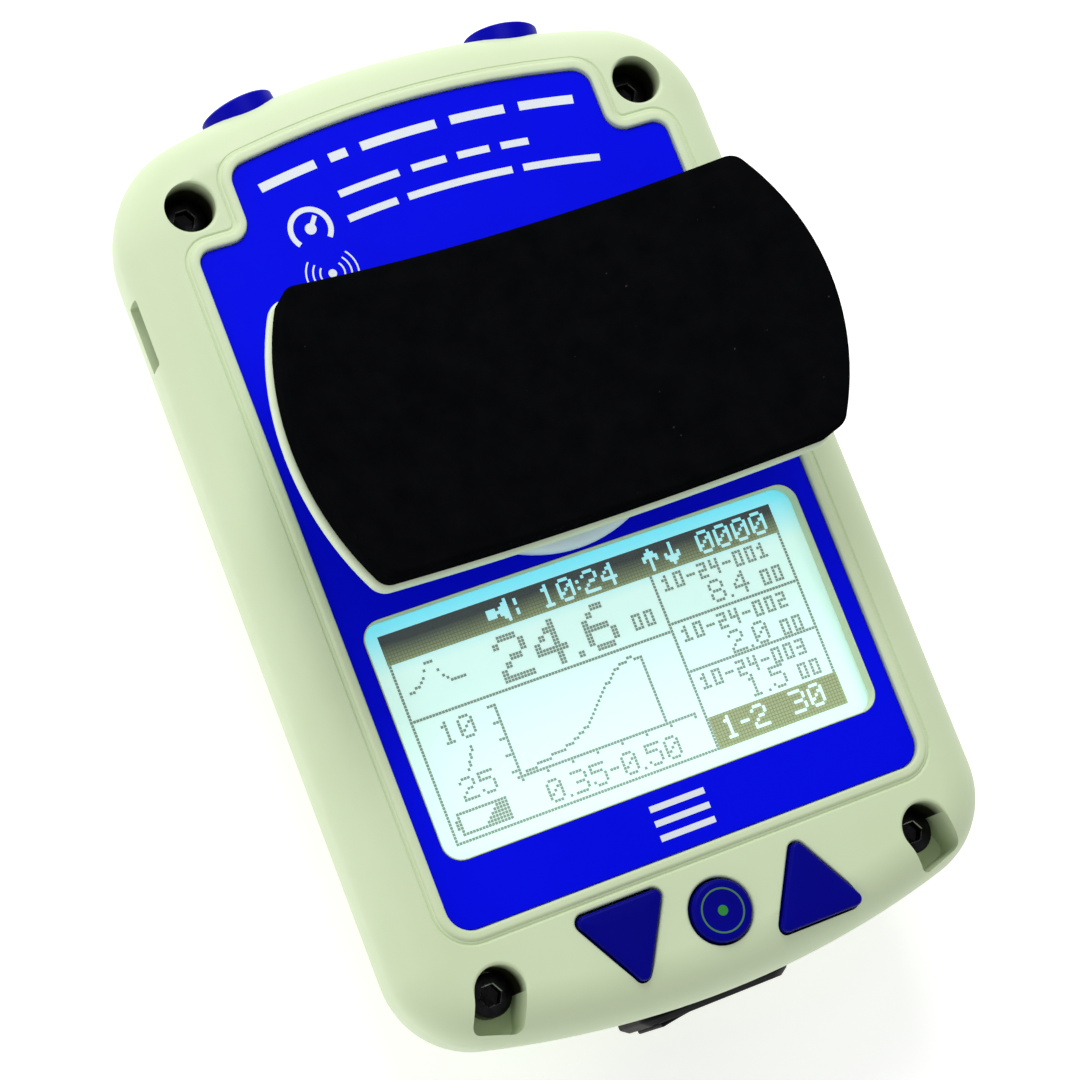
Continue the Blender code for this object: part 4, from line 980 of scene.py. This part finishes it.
def draw_readings():
    """A generic force reading: a large value, a curve on two axes and three smaller values."""
    screen = Screen()
    last_column, last_row = DOTS[0] - 1, DOTS[1] - 1
    screen.column(0, 9, last_row)
    screen.column(last_column, 9, 53)
    screen.row(1, DIVIDE, last_row)
    screen.column(DIVIDE, 9, last_row)
    for row in (24, 39):
        screen.row(DIVIDE, last_column, row)
    screen.row(1, DIVIDE, 26)
    peak = ((3, 18), (6, 17), (8, 15), (9, 13), (10, 11), (12, 11), (13, 14), (14, 16), (16, 18), (20, 18))
    screen.dark |= trace(peak)
    screen.number("24.6", 31, 11, 2)
    screen.number("00", 74, 18, font=SMALL_DIGITS)
    for i, (label, value) in enumerate((("10-24-001", "8.4"), ("10-24-002", "2.0"), ("10-24-003", "1.5"))):
        top = 9 + 15 * i + (i > 0)
        screen.number(label, DIVIDE + 3, top + 1, font=SMALL_DIGITS)
        screen.number(value, DIVIDE + 16, top + 7 - i // 2)
        screen.number("00", DIVIDE + 33, top + 9 - i // 2, font=SMALL_DIGITS)

    origin = (25, 51)
    screen.column(origin[0], 29, origin[1] + 1)
    screen.row(origin[0] - 1, DIVIDE - 3, origin[1])
    for row in range(29, origin[1], 5):
        screen.row(origin[0] - 2, origin[0], row)
    for column in range(origin[0] + 8, DIVIDE - 2, 8):
        screen.column(column, origin[1], origin[1] + 1)
    rise = ((27, 50), (33, 49), (39, 48), (45, 46), (50, 43), (54, 39), (58, 35), (62, 32))
    screen.dark |= trace(rise + ((65, 30), (69, 29), (71, 30)))
    screen.column(72, 30, origin[1])
    screen.number("10", 7, 29)
    screen.dark |= {(14 - r // 2, 38 + r) for r in range(7)}
    screen.number("25", 7, 46)
    screen.number("0.35-0.50", 31, 55)
    screen.row(3, 18, 55)
    screen.row(3, 18, 61)
    screen.column(18, 55, 61)
    screen.column(3, 55, 61)
    screen.column(2, 57, 59)
    for c in range(8):
        screen.column(10 + c, 61 - min(c, 5), 61)
    return screen.dark


def trace(points):
    """The dots nearest to a line through points, one in each column."""
    dots = set()
    for (x0, y0), (x1, y1) in zip(points, points[1:]):
        dots |= {(x, round(y0 + (y1 - y0) * (x - x0) / (x1 - x0))) for x in range(x0, x1 + 1)}
    return dots


def dot_plates(name, cells, share, mat, lift=0.0):
    """Thin square dots on the glass, each one a share of the dot pitch wide."""
    bm = bmesh.new()
    low, high = GLASS_HIGH.z - 0.005 * MM + lift, GLASS_HIGH.z + 0.02 * MM + lift
    half = DOT_PITCH * share / 2
    for column, row in sorted(cells):
        x = SCREEN_CENTRE[0] + (column - (DOTS[0] - 1) / 2) * DOT_PITCH
        y = SCREEN_CENTRE[1] - (row - (DOTS[1] - 1) / 2) * DOT_PITCH
        add_loops(bm, box_loops((x - half, y - half, low), (x + half, y + half, high)))
    place(finish_mesh(name, bm, mat), "housing", "lcd")


def make_display():
    glass = rectangle(GLASS_HIGH.x * 2, GLASS_HIGH.y - GLASS_LOW.y, 0.5 * MM, (0, DISPLAY_Y))
    profile = [(0, GLASS_LOW.z), (0, GLASS_HIGH.z - 0.1 * MM), (-0.1 * MM, GLASS_HIGH.z)]
    panel = loops_solid("screen_panel", swept(glass, profile), SCREEN)
    place(panel, "housing", "lcd", "lcd_glass")

    dot_plates("screen_dots", draw_readings(), 0.84, SCREEN_DOT)
    dot_plates("screen_shadow", header_and_tag(), 0.996, SCREEN_SHADOW)
    dot_plates("screen_fields", header_and_tag(), 0.8, SCREEN_FIELD, 0.01 * MM)

    low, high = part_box("display_window")
    pane = rectangle(high.x * 2, high.y - low.y, 1 * MM, (0, DISPLAY_Y))
    profile = [(-0.1 * MM, low.z), (0, low.z + 0.1 * MM), (0, high.z - 0.1 * MM), (-0.1 * MM, high.z)]
    window = loops_solid("window_pane", swept(pane, profile), CLEAR)
    place(window, "housing", "clear_window", "display_window")


# ---- keys, triggers, screws, switch


def add_key_foot(key, centre, width):
    """Adds the flange that keeps a key in the housing and the stem that presses its switch."""
    flange = rectangle(width, 5 * MM, 1 * MM, centre)
    boolean(key, "UNION", [swept(flange, mm((0, 32.2), (0, 33.4)))])
    boolean(key, "UNION", [turned(mm((2, 30.3), (2, 32.6)), centre, 32)])


def make_face_keys():
    under = 33.2 * MM
    for name, pointing in (("down", -1), ("up", 1)):
        profile = [(0, under)] + round_over(0, KEY_TOP - 0.12 * MM, 0.5 * MM, 5)
        profile += [(-1.2 * MM, KEY_TOP - 0.05 * MM), (-2.0 * MM, KEY_TOP)]
        key = loops_solid(name + "_key_cap", swept(triangle(pointing), profile), BLUE, sharp=60)
        add_key_foot(key, (pointing * KEY_X, KEY_Y), 13.2 * MM)
        place(even_normals(key, 50), name + "_key", "button_blue", name + "_button")

    centre = (0, KEY_Y)
    profile = [(SELECT_RADIUS, under)] + round_over(SELECT_RADIUS, KEY_TOP, 0.5 * MM, 5)
    steps = ((2.9, 0), (2.85, -0.05), (2.6, -0.05), (2.55, 0), (0.7, 0), (0.68, -0.05))
    profile += mm(*steps, z=KEY_TOP)
    key = loops_solid("select_key_cap", turned(profile, centre), BLUE, sharp=50)
    add_key_foot(key, centre, 10.4 * MM)
    place(even_normals(key, 40), "select_key", "button_blue", "select_button")
    ring = mm((2.84, -0.05), (2.84, -0.015), (2.61, -0.015), (2.61, -0.05), z=KEY_TOP)
    loops = turned(ring, centre)
    place(loops_solid("select_ring", loops, MARK_GREEN, cyclic=True), "select_key", "button_blue")
    loops = turned(mm((0.66, -0.05), (0.66, -0.01), (0.5, 0), z=KEY_TOP), centre, 32)
    place(loops_solid("select_dot", loops, DOT_GREEN), "select_key", "button_blue")


def make_triggers():
    for side, name in ((-1, "left"), (1, "right")):
        wall, outward = trigger_frame(side)
        crown = [(2.0 * MM, -6.4 * MM), (2.0 * MM, -4.2 * MM), (TRIGGER_RADIUS, -4.2 * MM)]
        for angle in quarter(12):
            height = 0.9 * MM + (TRIGGER_PROUD - 1 * MM) * math.sin(angle)
            crown.append((max(TRIGGER_RADIUS * math.cos(angle), 0.2 * MM), height))
        loops = along(wall, outward, turned(crown))
        button = loops_solid(name + "_trigger_cap", loops, TRIGGER_BLUE_PAINTED_LIGHT, sharp=50)
        tabs = along(wall, outward, box_loops((-6.5 * MM, -2 * MM, -4.1 * MM), (6.5 * MM, 2 * MM, -3.2 * MM)))
        boolean(button, "UNION", [tabs])
        place(even_normals(button, 50), name + "_trigger", "button_blue", name + "_trigger_button")


def hexagon_radius(angle, flat_half):
    """How far a hexagonal socket reaches from its centre at an angle."""
    third = math.radians(60)
    return flat_half / math.cos((angle % third) - third / 2)


def socket_screw(name, centre, head, shank_low, flip=1):
    """A socket-head screw: knurled head (radius, low z, high z), hexagonal socket and shank."""
    radius, low, high = head
    chamfer = 0.25 * MM
    depth = 0.6 * abs(high - low)
    turns = [math.tau * k / 96 for k in range(96)]

    def ring(reach, z):
        """A loop at a height whose radius is a number, or a function of the angle."""
        spokes = [(reach(a) if callable(reach) else reach, a) for a in turns]
        return [(centre[0] + r * math.cos(a), centre[1] + flip * r * math.sin(a), z) for r, a in spokes]

    def knurl(a):
        return radius - 0.05 * MM * (1 + math.cos(32 * a)) / 2

    def socket(a):
        return hexagon_radius(a, radius * 0.45)

    shank = radius * 0.54
    loops = [
        ring(shank - 0.3 * MM, shank_low),
        ring(shank, shank_low + flip * 0.4 * MM),
        ring(shank, low),
        ring(radius - 0.1 * MM, low),
        ring(knurl, low + flip * 0.1 * MM),
        ring(knurl, high - flip * chamfer),
        ring(radius - chamfer * 0.4, high - flip * chamfer * 0.3),
        ring(radius - chamfer * 1.1, high),
        ring(lambda a: socket(a) + 0.12 * MM, high),
        ring(socket, high - flip * 0.12 * MM),
        ring(socket, high - flip * depth),
        ring(lambda a: socket(a) * 0.3, high - flip * (depth + 0.25 * MM)),
    ]
    screw = loops_solid(name, loops, BLACK_STEEL, WORN_STEEL_AND_GLINT, sharp=28)
    # The rim round the socket gets the bright steel: worn metal with a painted glint.
    for face in screw.data.polygons:
        inner = math.hypot(face.center.x - centre[0], face.center.y - centre[1])
        if abs(face.center.z - high) < 0.09 * MM and inner < radius * 0.6:
            face.material_index = 1
    return screw


def make_screws():
    for number, x, y in screw_places():
        low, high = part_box(f"case_screw_{number}")
        head = (HEAD_RADIUS, WELL_FLOOR_Z + SEAM, high.z)
        screw = socket_screw(f"well_screw_{number}", (x, y), head, low.z)
        place(screw, "housing", "black_steel", f"case_screw_{number}")
    low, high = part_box("battery_door_screw")
    head = (2.2 * MM, low.z + 0.9 * MM, low.z)
    screw = socket_screw("door_screw", (0, DOOR_SCREW_Y), head, high.z, flip=-1)
    place(screw, "housing", "black_steel", "battery_door_screw")


def make_switch():
    outer = BEZEL_LOW.y
    deep = SWITCH_SEAT_Y - SEAM - outer
    room = rectangle(18 * MM, 11.6 * MM, 0.8 * MM)
    block = rectangle(*SWITCH_BODY, 0.5 * MM)
    loops = swept(block, [(0, outer - BEZEL_HIGH.y), (0, -deep)])
    loops += swept(BEZEL_OUTLINE, [(0, -deep)] + mm((0, -0.9), (-0.12, -0.7), (-0.9, -0.12), (-1.1, 0)))
    loops += swept(room, [(0.25 * MM, 0), (0, -0.25 * MM), (0, outer + 58 * MM)])
    loops = along((0, outer, SWITCH_Z), (0, -1, 0), loops)
    body = loops_solid("switch_bezel", loops, BLACK, sharp=40)
    place(even_normals(body, 40), "housing", "black_plastic", "power_switch_body")

    half, tall = ROCKER_HALF
    pivot = Matrix.Translation((0, ROCKER_PIVOT_Y, 0))
    tilt = pivot @ Matrix.Rotation(ROCKER_TILT, 4, "Z") @ pivot.inverted()

    def dish(x):
        """How far out the rocker's hollow face is at x."""
        return outer - 0.2 * MM + 0.5 * MM * (1 - (x / half) ** 2)

    points = [(x, dish(x)) for x in (half * (1 - k / 6) for k in range(13))]
    points += [(-half + 0.8 * MM, -61.2 * MM), (-2 * MM, -60 * MM)]
    points += [(2 * MM, -60 * MM), (half - 0.8 * MM, -61.2 * MM)]
    loops = [[(x, y, SWITCH_Z + s * tall) for x, y in points] for s in (-1, 1)]
    rocker = loops_solid("rocker_cap", loops, BLACK, sharp=40)
    edge = {"limit_method": "ANGLE", "angle_limit": math.radians(40)}
    modify(rocker, "BEVEL", width=0.45 * MM, segments=4, **edge)
    baked(rocker)
    rocker.data.transform(tilt)
    place(even_normals(rocker, 60), "rocker", "black_plastic", "power_rocker")

    marks = bmesh.new()
    for x, outline in ((5 * MM, disc(1.5 * MM)), (-5 * MM, rectangle(0.7 * MM, 3 * MM, 0.3 * MM))):
        lean = MM * x / half**2
        profile = mm((0, -0.08), (0, 0.04))
        if x > 0:
            profile += mm((-0.5, 0.04), (-0.5, -0.08))
        loops = along((x, dish(x), SWITCH_Z), (-lean, -1, 0), swept(outline, profile))
        add_loops(marks, loops, cyclic=x > 0)
    signs = finish_mesh("rocker_marks", marks, INK)
    signs.data.transform(tilt)
    place(signs, "rocker", "black_plastic")


def make_data_socket():
    """The socket's metal shell with the white tongue and the pale edges that show through the slot."""
    low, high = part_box("usb_port")
    centre = (low.x, (low.y + high.y) / 2, (low.z + high.z) / 2)
    size = (high.y - low.y, high.z - low.z)
    shell = rectangle(*size, 0.6 * MM)
    length = high.x - low.x
    loops = swept(shell, [(0, -length), (0, -0.1 * MM), (-0.1 * MM, 0), (-0.4 * MM, 0)])
    loops += swept(shell, [(-0.5 * MM, -0.1 * MM), (-0.5 * MM, 1.5 * MM - length)])
    port = loops_solid("data_socket", along(centre, (-1, 0, 0), loops), STEEL, sharp=40)
    place(port, "housing", "steel", "usb_port")
    tongue = rectangle(size[0] * 0.72, size[1] * 0.4, 0.2 * MM)
    loops = swept(tongue, [(0, 1.2 * MM - length), (0, -0.6 * MM), (-0.1 * MM, -0.5 * MM)])
    tongue = loops_solid("socket_tongue", along(centre, (-1, 0, 0), loops), FLANGE_WHITE)
    place(tongue, "housing", "steel")


# ---- load path


def make_collar():
    radius, top, foot = COLLAR_HIGH.x, COLLAR_HIGH.z, COLLAR_LOW.z
    profile = [(COLLAR_FOOT_RADIUS, foot), (COLLAR_FOOT_RADIUS, LABEL_Z + 0.35 * MM)]
    profile += [(radius - 0.1 * MM, LABEL_Z + 0.35 * MM), (radius, LABEL_Z + 0.45 * MM)]
    profile += round_over(radius, top, 1.6 * MM, 8)
    profile += [(7.7 * MM, top), (7.3 * MM, top - 0.4 * MM), (7.3 * MM, foot)]
    collar = loops_solid("collar_ring", turned(profile, (0, POST_Y), 96), COLLAR, cyclic=True)
    place(even_normals(collar), "housing", "case_plastic", "load_collar")


def bent(x, low, reach, thickness):
    """Height of a stirrup layer's underside (reach 0) or upper side (reach 1) at x."""
    radius = STIRRUP_BEND - thickness * reach
    return low + STIRRUP_BEND - math.sqrt(radius**2 - x**2)


def bent_pad(name, low, thickness, inset, edge, mats):
    """A curved slab with rounded edges, skinned right to its middle so that both faces stay smooth."""
    turns = quarter(5)
    steps = [(inset + edge * (1 - math.sin(a)), 0, edge * (1 - math.cos(a))) for a in turns]
    steps += [(inset + edge * (1 - math.cos(a)), 1, -edge * (1 - math.sin(a))) for a in turns]
    shrinks = [k / 7 for k in range(1, 7)]
    centre = Vector((0, POST_Y))

    def loop(grow, level, lift, scale=1.0):
        ring = [centre + (Vector(p) - centre) * scale for p in stirrup_outline(grow)]
        return [(p.x, p.y, bent(p.x, low, level, thickness) + lift) for p in ring]

    rim = inset + edge
    loops = [loop(rim, 0, 0, s) for s in [0.02] + shrinks]
    loops += [loop(grow, level, lift) for grow, level, lift in steps]
    loops += [loop(rim, 1, 0, s) for s in list(reversed(shrinks)) + [0.02]]
    return loops_solid(name, loops, *mats, sharp=60)


def make_stirrup():
    args = (STIRRUP_MID_Z, STIRRUP_THICKNESS, 0.0, 1.1 * MM)
    plate = bent_pad("curved_plate", *args, [PLATE])
    hub = mm((10, 45.6), (10, 39.5), (9.7, 39.2))
    boolean(plate, "UNION", [turned(hub[::-1], (0, POST_Y), 64)])
    bore = mm((6.3, 38), (6.3, 43.8))
    boolean(plate, "DIFFERENCE", [turned(bore, (0, POST_Y), 48)])
    place(even_normals(plate, 50), "stirrup", "case_plastic", "stirrup_plate")

    low = STIRRUP_MID_Z + STIRRUP_THICKNESS + 0.1 * MM
    thickness = FOAM_THICKNESS + 0.2 * MM
    pad = bent_pad("limb_pad", low, thickness, FOAM_INSET, 0.6 * MM, [FOAM])
    place(pad, "stirrup", "foam", "foam_pad")


# ---- studio


def aim(obj, target, up=(0, 0, 1)):
    """Points an object's -Z at a target with its +Y as near up as it goes."""
    back = (obj.location - Vector(target)).normalized()
    right = Vector(up).cross(back).normalized()
    above = back.cross(right)
    turn = Matrix((right, above, back)).transposed()
    obj.rotation_euler = turn.to_euler()


def area_light(name, location, size, power):
    data = bpy.data.lights.new(name, "AREA")
    data.shape = "RECTANGLE"
    data.size, data.size_y = size
    data.energy = power
    light = linked(name, data)
    light.location = location
    aim(light, (0, 0, 0.03))


def make_studio():
    white = moulded("floor_white", (0.93, 0.93, 0.93), (0.92, 0.92, 0.92), 0.7, strength=0.02, glow=FLOOR_GLOW)
    bm = bmesh.new()
    bmesh.ops.create_grid(bm, x_segments=8, y_segments=8, size=3)
    floor = finish_mesh("floor", bm, white)
    floor.location = (0, 0, -0.05 * MM)

    world = bpy.data.worlds.new("studio")
    bpy.context.scene.world = world
    world.use_nodes = True
    sky = world.node_tree.nodes["Background"].inputs
    sky["Color"].default_value = (1, 1, 1, 1)
    sky["Strength"].default_value = SKY_LIGHT

    area_light("key_light", (0.02, 0.40, 0.47), (0.3, 0.3), 1.9)
    area_light("fill_light", (-0.7, 0.1, 0.35), (0.6, 0.5), 0.9)
    bpy.context.scene.view_settings.view_transform = "Standard"


def make_camera():
    data = bpy.data.cameras.new("camera")
    data.lens = CAMERA_LENS
    data.clip_start = 0.01
    data.clip_end = 20
    camera = linked("camera", data)
    camera.location = CAMERA_PLACE
    aim(camera, CAMERA_TARGET, CAMERA_UP)
    bpy.context.scene.camera = camera


# ---- assembly

make_camera()
make_studio()
slots = {part["node"]: part["material_slot"] for part in frame["record"]["subparts"]}
for node, obj in frame["nodes"].items():
    for material_slot in obj.material_slots:
        material_slot.material = SLOT_MATERIALS[slots[node]]
make_front_shell()
make_rear_shell()
make_door()
make_label()
make_label_marks()
make_display()
make_face_keys()
make_triggers()
make_screws()
make_switch()
make_data_socket()
make_collar()
make_stirrup()
